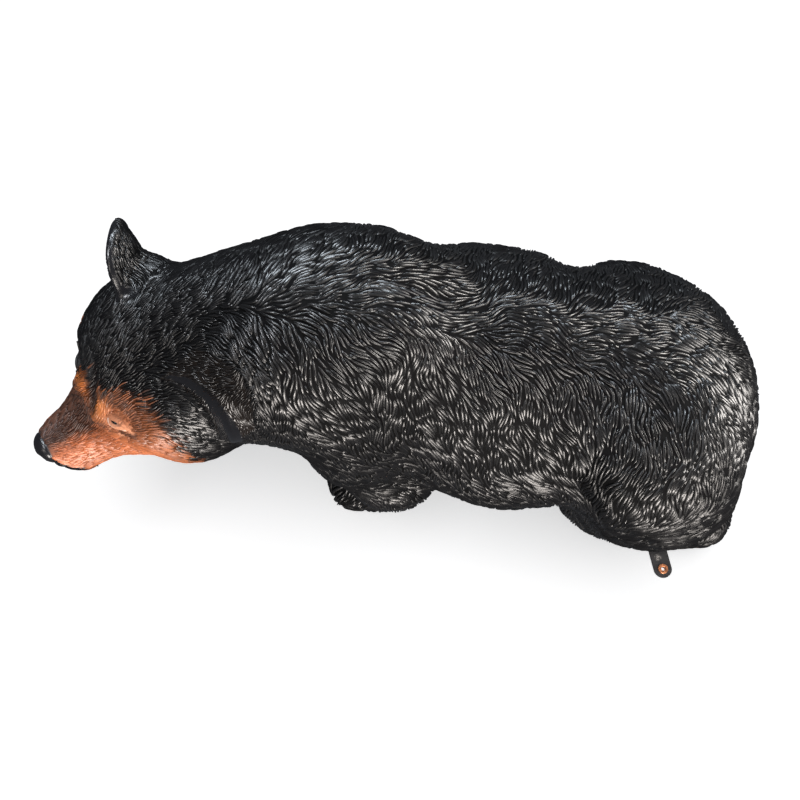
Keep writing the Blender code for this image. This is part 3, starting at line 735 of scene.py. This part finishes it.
def lie(p, n):
    """Which way the fur lies at points of the skin."""
    out = np.zeros_like(p)
    for i in range(0, len(p), COMB_BATCH):
        part = p[i : i + COMB_BATCH]
        far = (part**2).sum(1)[:, None] + (COMB_AT**2).sum(1) - 2 * part @ COMB_AT.T
        out[i : i + COMB_BATCH] = (1 / (np.maximum(far, 0) + COMB_NEAR) ** COMB_POWER) @ COMB_WAY
    q = to_head(p)
    for shape in EARS:
        e, axes = ear_place(q, shape)
        near = smoothstep(0.3, 2.0, e[:, 2]) * smoothstep(7.5, 6.0, np.abs(e[:, 1]))
        near = (near * smoothstep(3.5, 2.5, np.abs(e[:, 0])))[:, None]
        aside = -0.07 * e[:, 1:2] * axes[1] + axes[2]
        away = (aside * [1, shape["side"], 1]) @ head_axes()
        out = unit(out) * (1 - near) + near * away
    out = unit(out - (out * n).sum(1)[:, None] * n)
    face = smoothstep(2, 6, q[:, 0]) * (np.abs(q[:, 2]) < 16)
    turn = (coat_turn(p) * (1 - CALM_FACE * face))[:, None]
    return unit(out * np.cos(turn) + np.cross(n, out) * np.sin(turn))


def ear_high(q):
    """How far up an ear each of the head's points is, in units, and zero away from the ears."""
    best = np.zeros(len(q))
    for shape in EARS:
        e, _ = ear_place(q, shape)
        near = (np.abs(e[:, 0]) < 2.6) & (np.abs(e[:, 1]) < EAR_HALF_WIDE + 1.0)
        best = np.maximum(best, np.where(near, e[:, 2], 0))
    return best


def ear_parts(q):
    """True on an ear's rolled rim, and true in its cup; both are smooth."""
    rim, cup = np.zeros(len(q), bool), np.zeros(len(q), bool)
    for shape in EARS:
        e, _ = ear_place(q, shape)
        ring = ear_ring(e)
        near = (e[:, 2] > 1.2) & (np.abs(e[:, 0]) < 2.4) & (ring < 1.3)
        rim |= near & (ring > RIM_FROM[shape["side"]])
        cup |= near & (e[:, 0] > 0.25)
    return rim, cup & ~rim


# How much smaller the strokes get towards the nose: share, and from and to how far forward in the head
FINER = ((0.24, -14, -4), (0.15, 2, 7), (0.07, 8, 14))
FINER_EARS = 0.12
COARSER_BELLY = 0.3


def fineness(p):
    """Size of the strokes: 1 on the body, smaller on the face and ears, larger under the belly."""
    q = to_head(p)
    size = 1.0
    for share, back, front in FINER:
        size = size - share * smoothstep(back, front, q[:, 0])
    size = np.where(np.linalg.norm(q, axis=1) < SEAM_REACH, size, 1.0)
    size = size - FINER_EARS * smoothstep(1.0, 3.0, ear_high(q))
    under = smoothstep(18, 12, p[:, 2]) * smoothstep(10.5, 8.0, np.abs(p[:, 1]))
    return size * (1 + COARSER_BELLY * under)


def bare(p):
    """True where the skin has no strokes: eyes, nose, lips, furrow, the ears' rims and cups, the soles."""
    q = to_head(p)
    _, m = face_frame(q)
    e = eye_place(m)
    eye = (((e - EYE_MIDDLE) / [2.0, 1.25, 1.8]) ** 2).sum(1) < 1
    eye |= limb(e, OUTER_FOLD) < 0.25
    nose = (nose_pad(q) > -0.3) & (q[:, 2] > PAD_LOW[0])
    lips = (chain(m, MOUTH, np.array(LIP_RADII) * 0.6 + 0.1) < 0) & (q[:, 0] > 6)
    furrow = limb(q, FURROW) < 0.1
    rim, cup = ear_parts(q)
    return (near_head(q) & (eye | nose | lips | furrow | rim | cup)) | (p[:, 2] < 0.35)


def seeds(points, faces, count, draw):
    """Points strewn over the quads by area, more where strokes are small."""
    tri = np.concatenate([faces[:, [0, 1, 2]], faces[:, [0, 2, 3]]])
    a, b, c = points[tri[:, 0]], points[tri[:, 1]], points[tri[:, 2]]
    middle = (a + b + c) / 3
    weight = np.linalg.norm(np.cross(b - a, c - a), axis=1) / fineness(middle) ** 2
    chosen = draw.choice(len(tri), count, p=weight / weight.sum())
    u, v = draw.random((2, count))
    turn = u + v > 1
    u, v = np.where(turn, 1 - u, u)[:, None], np.where(turn, 1 - v, v)[:, None]
    return a[chosen] + (b - a)[chosen] * u + (c - a)[chosen] * v


def spaced(points, way, normal, size):
    """Which points to keep and how long each one's stroke is: long ones side by side, then shorter ones."""
    tree = kdtree.KDTree(len(points))
    for i, p in enumerate(points):
        tree.insert(p, i)
    tree.balance()
    side = np.cross(normal, way)
    free = np.ones((len(STROKE_LENGTHS), len(points)), bool)
    kept, lengths = [], []
    for turn, length in enumerate(STROKE_LENGTHS):
        for i in np.flatnonzero(free[turn]):
            if not free[turn, i]:
                continue
            kept.append(i)
            lengths.append(length)
            reach = APART_ALONG * length * size[i]
            found = np.array([item[1] for item in tree.find_range(points[i], reach)])
            gap = points[found] - points[i]
            beside = np.abs(gap @ side[i]) < APART_ACROSS * size[i]
            along = np.abs(gap @ way[i]) / (APART_ALONG * size[i])
            for later in range(turn, len(STROKE_LENGTHS)):
                taken = beside & (along < (length + STROKE_LENGTHS[later]) / 2)
                free[later, found[taken]] = False
    return np.array(kept), np.array(lengths)


def stroke_lines(p, long):
    """Stations along each stroke: places and normals."""
    p, n = onto(p, skin_form)
    lines, normals = [None] * STATIONS, [None] * STATIONS
    start = STATIONS // 2
    step = (long / (STATIONS - 1))[:, None]
    for sign, order in ((1, range(start, STATIONS)), (-1, range(start, -1, -1))):
        here, normal = p, n
        for k in order:
            lines[k], normals[k] = here, normal
            way = lie(here, normal)
            here, normal = onto(here + sign * step * way, skin_form)
    return np.stack(lines, 1), np.stack(normals, 1)


def by_station(shares, sizes):
    """Each stroke's size times the share of each station."""
    return np.array(shares)[None, :, None] * sizes[:, None, None]


def stroke_mesh(lines, normals, size, draw):
    """Each stroke as a ridge that rises from the skin and ends in a point."""
    n, k, _ = lines.shape
    way = np.gradient(lines, axis=1)
    side = unit(np.cross(normals, way))
    wide = by_station(STROKE_WIDTHS, STROKE_HALF_WIDE * size * draw.uniform(*WIDTHS_VARY, n))
    high = by_station(STROKE_HEIGHTS, STROKE_HIGH * size * draw.uniform(*HEIGHTS_VARY, n))
    sink = STROKE_SINK * normals
    left = lines + side * wide - sink
    right = lines - side * wide - sink
    ridge = lines + normals * high - sink * (high == 0)
    ridge = ridge + side * wide * draw.uniform(*CRESTS_VARY, n)[:, None, None]
    corners = np.stack([left, ridge, right], 2).reshape(-1, 3)
    base = (np.arange(n) * k * 3)[:, None, None]
    at = np.arange(k - 1)[None, :, None] * 3
    quads = [(base + at + np.array([j, j + 1, j + 4, j + 3])).reshape(-1, 4) for j in (0, 1)]
    # Level 0 at a stroke's edges, where the grooves' painted shade goes, and 1 on its crest
    level = np.tile(np.array([0.0, 1.0, 0.0]), n * k)
    return corners, np.concatenate(quads), level


# Colours of the paint on the ridges' crests, and darker ones in the grooves that are painted shade; the tan
# has one at its edge and one inside
TAN_CRESTS = ((0.36, 0.118, 0.046), (0.55, 0.172, 0.070))
TAN_GROOVE_SHADES = ((0.006, 0.003, 0.002), (0.15, 0.043, 0.017))
BROW_CREST, BROW_GROOVE_SHADE = (0.66, 0.205, 0.035), (0.26, 0.070, 0.012)
# The far brow's crest, darker than the near one's as painted shade
FAR_BROW_SHADED_CREST = (0.42, 0.125, 0.030)
BRIDGE_GROOVE_SHADE, BRIDGE_CREST = (0.012, 0.007, 0.006), (0.085, 0.038, 0.025)
BLACK_GROOVE_SHADE, BLACK_CREST = (0.0010, 0.0010, 0.0012), (0.0085, 0.0083, 0.0090)
EAR_BROWN = (0.014, 0.010, 0.008)
# Painted shade in the carved furrow
FURROW_SHADE = (0.006, 0.004, 0.004)
LID_UPPER, LID_LOWER = (0.40, 0.145, 0.062), (0.56, 0.235, 0.12)
FOLD_PALE = (0.80, 0.66, 0.56)
# Painted shade of a crease under each eye
CREASE_SHADE_BROWN = (0.09, 0.030, 0.016)
WET_BLACK = (0.007, 0.007, 0.0085)

# Where the orange of the brows is strongest in the head's frame, and its half sizes
BROW_AT, BROW_HALF = (10.0, 2.2, 4.0), (1.6, 1.3, 1.4)
# Where the far brow is painted darker as painted shade, and its half sizes
FAR_BROW_AT, FAR_BROW_HALF = (10.0, -2.4, 4.3), (1.6, 1.7, 1.6)
# The brown bridge of the nose: its half width against how far forward
BRIDGE_HALF = ((11.0, 12.5, 16.0, 19.0, 20.5), (1.2, 2.5, 1.7, 1.2, 1.4))


def mixed(a, b, share):
    """Two colours, or arrays of them, mixed by a share for each point."""
    return np.asarray(a) * (1 - share[:, None]) + np.asarray(b) * share[:, None]


def tan_paint(q, inside, level, tone):
    """The tan of the face, with orange brows, the far one darker as painted shade, and a brown bridge of the
    nose.
    """
    f, m = face_frame(q)
    x, _, z = q.T
    deep = smoothstep(0.0, 4.5, inside) * smoothstep(4.5, -0.5, z + 0.15 * (x - 9))
    brow = np.exp(-((((m - BROW_AT) / BROW_HALF) ** 2).sum(1) ** 1.5))
    far_brow_shade = np.exp(-(((q - FAR_BROW_AT) / FAR_BROW_HALF) ** 2).sum(1))
    crest = mixed(mixed(mixed(*TAN_CRESTS, deep), BROW_CREST, brow), FAR_BROW_SHADED_CREST, far_brow_shade)
    # The groove colour is painted shade, mixed with the crest's by the ridge's level
    groove = mixed(mixed(*TAN_GROOVE_SHADES, deep), BROW_GROOVE_SHADE, brow)
    rgb = mixed(groove, crest, np.clip(0.15 + 0.85 * level, 0, 1)) * (0.72 + 0.56 * tone)[:, None]
    half = np.interp(x, *BRIDGE_HALF) + 2.0 * (f[:, 1] < 0)
    bridge = smoothstep(half + 1.1, half - 0.6, np.abs(f[:, 1]) + (tone - 0.5) * 0.8)
    bridge = bridge * smoothstep(10.6, 12.0, x) * smoothstep(-3.0, -1.5, z)
    brown = mixed(BRIDGE_GROOVE_SHADE, BRIDGE_CREST, level * (0.3 + 0.9 * tone))
    return mixed(rgb, brown, 0.93 * bridge)


def black_paint(q, level, tone):
    """The black of the coat, darker in its grooves as painted shade, a little browner at the near ear."""
    black = mixed(BLACK_GROOVE_SHADE, BLACK_CREST, level * (0.4 + 0.8 * tone))
    near_ear = near_head(q) * smoothstep(2.5, 4.5, ear_high(q)) * (q[:, 1] > 0)
    return mixed(black, EAR_BROWN, 0.6 * near_ear)


def eye_paint(rgb, q, e, level):
    """The smooth skin round the eyes, with a pale fold and, below it, a painted brown crease shadow under
    each.
    """
    at_head = near_head(q)
    around = at_head * smoothstep(2.6, 1.9, np.linalg.norm(e - EYE_MIDDLE, axis=1)) * (level < 0.3)
    around = around * smoothstep(-3.0, 0.0, q[:, 1])
    flat = np.stack([e[:, 0], e[:, 1], np.zeros(len(e))], 1)
    rgb = mixed(rgb, mixed(LID_UPPER, LID_LOWER, smoothstep(0.4, -0.8, e[:, 1])), around)
    fold = smoothstep(0.16, 0.03, thin_line(flat, UNDER_FOLD)) * around
    # Below the pale fold a brown line is painted as the shadow of a crease
    crease = smoothstep(0.42, 0.1, thin_line(flat, UNDER_EYE_SHADE_LINE)) * at_head
    return mixed(mixed(rgb, FOLD_PALE, 0.85 * fold), CREASE_SHADE_BROWN, 0.8 * crease)


def wetness(q, e, level):
    """Where the paint is smooth, black and glossy: the slits, the lips, the nose, the ears' rims and cups."""
    _, m = face_frame(q)
    slit = smoothstep(0.14, 0.0, limb(e, SLIT)) * near_head(q)
    mouth = np.minimum(chain(m, MOUTH, LIP_RADII), chain(m, LOWER_LIP, LOWER_LIP_RADII))
    lips = smoothstep(0.15, -0.15, mouth) * (q[:, 0] > 8)
    nose = smoothstep(-0.12, 0.12, nose_pad(q)) * smoothstep(-4.6, -3.8, q[:, 2])
    ears = np.logical_or(*ear_parts(q)) * (level < 0.3)
    return np.clip(lips + nose + slit + ears, 0, 1) * near_head(q)


def paint(p, level, tone):
    """The coat's colour, with painted shade where the ridge's level is low, its wetness and its share of tan,
    from the ridge's level and each stroke's tone.
    """
    q = to_head(p)
    e = eye_place(face_frame(q)[1])
    x, y, z = q.T
    inside = x - np.interp(y, *np.array(TAN_EDGE).T)
    ragged = (tone - 0.5) * 2.4 + 0.35 * np.sin(1.9 * y + z) + 0.25 * np.sin(3.1 * z - y)
    tan = smoothstep(-0.9, 1.3, inside + ragged) * near_head(q) * smoothstep(-14, -10, z)
    rgb = mixed(black_paint(q, level, tone), tan_paint(q, inside, level, tone), tan)
    # The carved furrow is darkened with painted shade
    furrow = smoothstep(0.75, 0.15, limb(q, FURROW)) * near_head(q)
    rgb = eye_paint(mixed(rgb, FURROW_SHADE, 0.92 * furrow), q, e, level)
    wet = wetness(q, e, level)
    return mixed(rgb, WET_BLACK, np.clip(wet * 2, 0, 1)), wet, tan


def dress(obj, points, level, tone):
    """Writes the coat's colour, ridge level and gloss on a piece."""
    rgb, wet, tan = paint(points, level, tone)
    colours = obj.data.color_attributes.new("paint", "FLOAT_COLOR", "POINT")
    rgba = np.concatenate([rgb, np.ones((len(rgb), 1))], 1)
    colours.data.foreach_set("color", rgba.astype(np.float32).ravel())
    for name, values in (("ridge", level), ("wet", wet), ("tan", tan)):
        held = obj.data.attributes.new(name, "FLOAT", "POINT")
        held.data.foreach_set("value", values.astype(np.float32))


class Nodes:
    """A short way to write a node material."""

    def __init__(self, name):
        self.material = bpy.data.materials.new(name)
        self.material.use_nodes = True
        self.tree = self.material.node_tree
        self.shader = self.tree.nodes["Principled BSDF"]

    def fill(self, socket, value):
        """A constant, or a link from another node."""
        if isinstance(value, bpy.types.NodeSocket):
            self.tree.links.new(value, socket)
        else:
            socket.default_value = value

    def set(self, name, value):
        self.fill(self.shader.inputs[name], value)

    def add(self, kind, inputs, **settings):
        """A node with its settings and inputs."""
        node = self.tree.nodes.new("ShaderNode" + kind)
        for key, value in settings.items():
            setattr(node, key, value)
        for key, value in inputs.items():
            self.fill(node.inputs[key], value)
        return node

    def math(self, operation, a, b, clamp=False):
        return self.add("Math", {0: a, 1: b}, operation=operation, use_clamp=clamp).outputs[0]

    def place(self):
        return self.add("TexCoord", {}).outputs["Object"]

    def noise(self, scale, detail, rough=0.5):
        inputs = {"Scale": scale, "Detail": detail, "Roughness": rough, "Vector": self.place()}
        return self.add("TexNoise", inputs).outputs["Fac"]

    def ramp(self, fac, low, high, to_low=0.0, to_high=1.0):
        inputs = {"Value": fac, "From Min": low, "From Max": high, "To Min": to_low, "To Max": to_high}
        return self.add("MapRange", inputs, interpolation_type="SMOOTHSTEP").outputs["Result"]

    def vary(self, scale, detail, low, high):
        """Soft noise between two values."""
        return self.ramp(self.noise(scale, detail), 0.3, 0.7, low, high)

    def mix(self, fac, a, b):
        inputs = {"Factor": fac, "A": a, "B": b}
        return self.add("Mix", inputs, data_type="RGBA").outputs["Result"]

    def bump(self, height, strength, distance):
        node = self.add("Bump", {"Strength": strength, "Distance": distance, "Height": height})
        self.set("Normal", node.outputs["Normal"])


def coat_material(name, shine):
    """Paint from the pieces' attributes: dull in the grooves, glossier on the crests and where it is wet."""
    n = Nodes(name)
    held = [n.add("Attribute", {}, attribute_name=key).outputs for key in ("paint", "ridge", "wet", "tan")]
    ridge, wet, tan = (outputs["Fac"] for outputs in held[1:])
    patches = n.vary(9.0, 2.0, 0.8, 1.2)
    grain = n.vary(420.0, 2.0, 0.85, 1.15)
    inputs = {0: held[0]["Color"], "Scale": n.math("MULTIPLY", patches, grain)}
    scaled = n.add("VectorMath", inputs, operation="SCALE")
    n.set("Base Color", scaled.outputs[0])
    dull = n.ramp(ridge, 0.1, 0.8, 0.72, 0.21)
    dull = n.math("ADD", dull, n.math("MULTIPLY", tan, 0.13))
    dull = n.math("ADD", dull, n.vary(60.0, 2.0, -0.05, 0.08))
    dry = n.math("SUBTRACT", 1.0, n.math("MULTIPLY", wet, 0.7))
    n.set("Roughness", n.math("MULTIPLY", dull, dry, clamp=True))
    n.set("Specular IOR Level", shine)
    n.bump(n.noise(700.0, 3.0), 0.25, 0.0006)
    return n.material


def eye_material():
    n = Nodes("glossy_eye")
    n.set("Base Color", (0.006, 0.005, 0.005, 1))
    n.set("Roughness", n.vary(300.0, 3.0, 0.06, 0.14))
    n.set("Coat Weight", 0.6)
    return n.material


def strap_material():
    """Black paint, worn in specks, and scuffed through beside the foot."""
    n = Nodes("black_painted_steel")
    worn = n.ramp(n.noise(160.0, 4.0, 0.7), 0.62, 0.74)
    base = n.mix(worn, (0.011, 0.011, 0.013, 1), (0.07, 0.07, 0.075, 1))
    spot = in_frame([*(TAB_AT / UNIT), 0]) + np.array([0.0, -0.013, TAB_THICK])
    near_foot = n.add("VectorMath", {0: n.place(), 1: tuple(spot)}, operation="DISTANCE")
    scuff = n.ramp(near_foot.outputs["Value"], 0.003, 0.007, 1.0, 0.0)
    scuff = n.math("MULTIPLY", scuff, n.ramp(n.noise(900.0, 3.0, 0.7), 0.5, 0.6))
    n.set("Base Color", n.mix(scuff, base, (0.42, 0.40, 0.38, 1)))
    n.set("Roughness", n.vary(90.0, 3.0, 0.34, 0.5))
    n.bump(n.noise(500.0, 3.0), 0.2, 0.0003)
    return n.material


def eyelet_material():
    n = Nodes("copper_eyelet")
    tarnish = n.ramp(n.noise(350.0, 3.0), 0.35, 0.65)
    n.set("Base Color", n.mix(tarnish, (0.72, 0.30, 0.15, 1), (0.45, 0.17, 0.08, 1)))
    n.set("Metallic", 0.85)
    n.set("Roughness", n.vary(200.0, 3.0, 0.25, 0.42))
    n.bump(n.noise(600.0, 2.0), 0.15, 0.0002)
    return n.material


def head_part(middle):
    q = to_head(middle)
    return (q[:, 0] > HEAD_FROM) & near_head(q)


def body_part(middle):
    """The rest of the skin, which laps a little under the head's."""
    q = to_head(middle)
    return ~((q[:, 0] > HEAD_FROM + SEAM_LAP) & (np.linalg.norm(q, axis=1) < SEAM_REACH))


def cover(mesh, material):
    mesh.materials.clear()
    mesh.materials.append(material)


def wear(obj, material):
    cover(obj.data, material)
    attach(obj, "root")
    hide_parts("bear")


def dressed(name, points, faces, material, level):
    obj = put(name, points, faces)
    dress(obj, points, np.full(len(points), level), np.full(len(points), 0.5))
    wear(obj, material)


def make_skins(grooves, coat):
    """The skins of body, head, ears and face as pieces; gives back the whole body's and head's meshes."""
    body_skin = make_skin(BODY_STEP, body_part)
    points, faces = make_skin(HEAD_STEP, head_part)
    # The skins get a low ridge level, which paints them with the grooves' painted shade
    dressed("body_skin", *body_skin, grooves, 0.1)
    middle = points[faces].mean(1)
    fine = fine_part(middle)
    ears = np.logical_or(*ear_parts(to_head(middle)))
    dressed("head_skin", *only(points, faces, ~fine & ~ears), grooves, 0.2)
    dressed("ears_skin", *only(points, faces, ears), coat, 0.2)
    ring = np.isin(faces, faces[fine]).any(1)
    fine_points, fine_faces = divided(*only(points, faces, ring), FINE_PARTS)
    dressed("face_skin", fitted(fine_points, fine_faces, FACE_ROUNDS), fine_faces, coat, 0.2)
    return body_skin, (points, faces)


def strewn(skins, draw):
    """All strokes of the coat: their stations, normals and sizes."""
    counts = (int(CANDIDATES * share) for share in SEED_SHARES)
    p = np.concatenate([seeds(*skin, count, draw) for skin, count in zip(skins, counts)])
    p = p[draw.permutation(len(p))]
    p = p[~bare(p)]
    normal = unit(slope_of(p, skin_form))
    seen = normal[:, 2] > FACES_DOWN
    p, normal = p[seen], normal[seen]
    size = fineness(p)
    kept, lengths = spaced(p, lie(p, normal), normal, size)
    p, size = p[kept], size[kept]
    lines, normals = stroke_lines(p, lengths * size * draw.uniform(*LENGTHS_VARY, len(p)))
    size = size * (lengths / STROKE_LENGTHS[0]) ** SHORT_SLIM
    whole = np.linalg.norm(np.diff(lines, axis=1), axis=2).max(1) < GAP_MOST
    order = np.argsort(p[whole][:, 0], kind="stable")
    return lines[whole][order], normals[whole][order], size[whole][order]


def make_coat():
    draw = np.random.default_rng(SEED)
    grooves, coat = coat_material("carved_grooves", 0.1), coat_material("carved_coat", 0.7)
    strokes = strewn(make_skins(grooves, coat), draw)
    pieces = max(1, math.ceil(len(strokes[0]) * (STATIONS - 1) * 4 / MOST_TRIANGLES))
    groups = zip(*(np.array_split(part, pieces) for part in strokes))
    for i, (lines, normals, size) in enumerate(groups):
        corners, quads, level = stroke_mesh(lines, normals, size, draw)
        corners = over_floor(corners)
        obj = put(f"coat_{i + 1}", corners, quads)
        tone = np.repeat(draw.random(len(lines)), STATIONS * 3)
        centre = np.repeat(lines.mean(1), STATIONS * 3, axis=0)
        # The crest level falls toward each stroke's ends, which so take more of the grooves' painted shade
        level = level * np.tile(np.repeat(np.array(STROKE_CREST_LEVELS), 3), len(lines))
        dress(obj, 0.5 * corners + 0.5 * centre, level, tone)
        wear(obj, coat)


def make_eyes():
    material = eye_material()
    axes = eye_axes()
    for name, side in (("left_eye", 1), ("right_eye", -1)):
        work = bmesh.new()
        bmesh.ops.create_uvsphere(work, u_segments=32, v_segments=20, radius=1.0)
        points = np.array([v.co for v in work.verts]) * EYEBALL_HALF
        faces = [[v.index for v in f.verts] for f in work.faces]
        work.free()
        q = points @ axes + np.array(EYE_AT) - EYEBALL_SINK * axes[2]
        if side < 0:
            q += [-FAR_EYE_BACK, FAR_EYE_OUT, -FAR_EYE_DOWN]
            faces = [f[::-1] for f in faces]
        q[:, 1] *= side
        q[:, 1] += FACE_SHIFT
        wear(put(name, from_head(q), faces), material)


# The floor's half width and how far it lies below the soles, in metres, and its own brightness
FLOOR_HALF, FLOOR_DROP, FLOOR_GLOW = 9, 0.0005, 0.60
# The floor's own light: strength, width and lean in degrees
FLOOR_SUN, FLOOR_SUN_WIDE, FLOOR_SUN_LEAN = 1.75, 44, 8
MIDDLE = (0.05, 0.0, 0.3)
# Soft lights: name, place, aim, size, watts, colour
LIGHTS = (
    ("tail_card", (2.1, -0.4, 1.6), MIDDLE, (0.6, 1.8), 85, (1.0, 0.95, 0.9)),
    ("near_card", (0.5, -3.0, 0.5), (0.15, 0.0, 0.3), (3.2, 0.9), 165, (1.0, 0.93, 0.87)),
    ("sky", (-0.1, 1.25, 3.0), MIDDLE, (2.4, 0.5), 88, (0.84, 0.92, 1.0)),
    ("face", (-1.8, -1.9, 1.9), (-0.35, -0.1, 0.35), (0.7, 0.7), 6, (1.0, 0.93, 0.86)),
    ("head_card", (-1.1, -0.6, 2.3), (-0.25, 0.0, 0.4), (0.5, 0.5), 18, (0.95, 0.96, 1.0)),
)
# The photograph's camera: angles in degrees, the rest in the figure's units and in pixels
AZIMUTH, ELEVATION = 5.0, 66.0
AIM, DISTANCE = (0, 0, 22.0), 135.0
SENSOR, FOCAL_PIXELS, PICTURE_PIXELS = 36.0, 980.0, 800.0


def make_stage():
    """A pale floor, mostly bright by itself, so that it has no part in lighting the bear."""
    mesh = bpy.data.meshes.new("floor")
    r = FLOOR_HALF
    mesh.from_pydata([(-r, -r, 0), (r, -r, 0), (r, r, 0), (-r, r, 0)], [], [(0, 1, 2, 3)])
    floor = in_scene("floor", mesh)
    n = Nodes("pale_floor")
    n.set("Base Color", (0.8, 0.8, 0.8, 1))
    n.set("Roughness", 1.0)
    n.set("Specular IOR Level", 0.0)
    n.set("Emission Color", (1, 1, 1, 1))
    n.set("Emission Strength", FLOOR_GLOW)
    mesh.materials.append(n.material)
    floor.location.z = -FLOOR_DROP
    floor.visible_glossy = False
    floor.visible_diffuse = False
    return floor


def lit_apart(floor, lights, floor_light):
    """The floor has its own neutral light, and the others leave it out."""
    groups = (("only_floor", [floor_light], "INCLUDE"), ("all_but_floor", lights, "EXCLUDE"))
    for name, members, state in groups:
        group = bpy.data.collections.new(name)
        group.objects.link(floor)
        group.collection_objects[0].light_linking.link_state = state
        for light in members:
            light.light_linking.receiver_collection = group


def soft_light(name, at, aim, size, power, colour):
    light = bpy.data.lights.new(name, "AREA")
    light.shape = "RECTANGLE"
    light.size, light.size_y = size
    light.energy = power
    light.color = colour
    obj = in_scene(name, light)
    obj.location = at
    obj.rotation_mode = "QUATERNION"
    obj.rotation_quaternion = (Vector(aim) - Vector(at)).to_track_quat("-Z", "Y")
    return obj


def make_light(floor):
    world = bpy.data.worlds.new("studio")
    world.use_nodes = True
    world.node_tree.nodes["Background"].inputs["Color"].default_value = (0.85, 0.9, 1.0, 1)
    world.node_tree.nodes["Background"].inputs["Strength"].default_value = 0.10
    bpy.context.scene.world = world
    lights = [soft_light(*row) for row in LIGHTS]
    sun = bpy.data.lights.new("floor_light", "SUN")
    sun.energy = FLOOR_SUN
    sun.angle = math.radians(FLOOR_SUN_WIDE)
    floor_light = in_scene("floor_light", sun)
    floor_light.rotation_euler = (math.radians(FLOOR_SUN_LEAN), 0, 0)
    lit_apart(floor, lights, floor_light)


def make_camera():
    around, up = math.radians(AZIMUTH), math.radians(ELEVATION)
    back = Vector((math.sin(around) * math.cos(up), -math.cos(around) * math.cos(up), math.sin(up)))
    right = Vector((math.cos(around), math.sin(around), 0))
    lens = bpy.data.cameras.new("camera")
    lens.sensor_width = SENSOR
    lens.lens = SENSOR * FOCAL_PIXELS / PICTURE_PIXELS
    lens.clip_start, lens.clip_end = 0.05, 50
    camera = in_scene("camera", lens)
    at = Vector(in_frame(AIM)) + back * DISTANCE * UNIT
    rows = [(*row, at[i]) for i, row in enumerate(zip(right, back.cross(right), back))]
    camera.matrix_world = Matrix([*rows, (0, 0, 0, 1)])
    bpy.context.scene.camera = camera


make_camera()
make_coat()
make_eyes()
cover(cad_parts["ground_tab"].data, strap_material())
cover(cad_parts["tab_eyelet"].data, eyelet_material())
make_light(make_stage())
bpy.context.scene.view_settings.view_transform = "Standard"
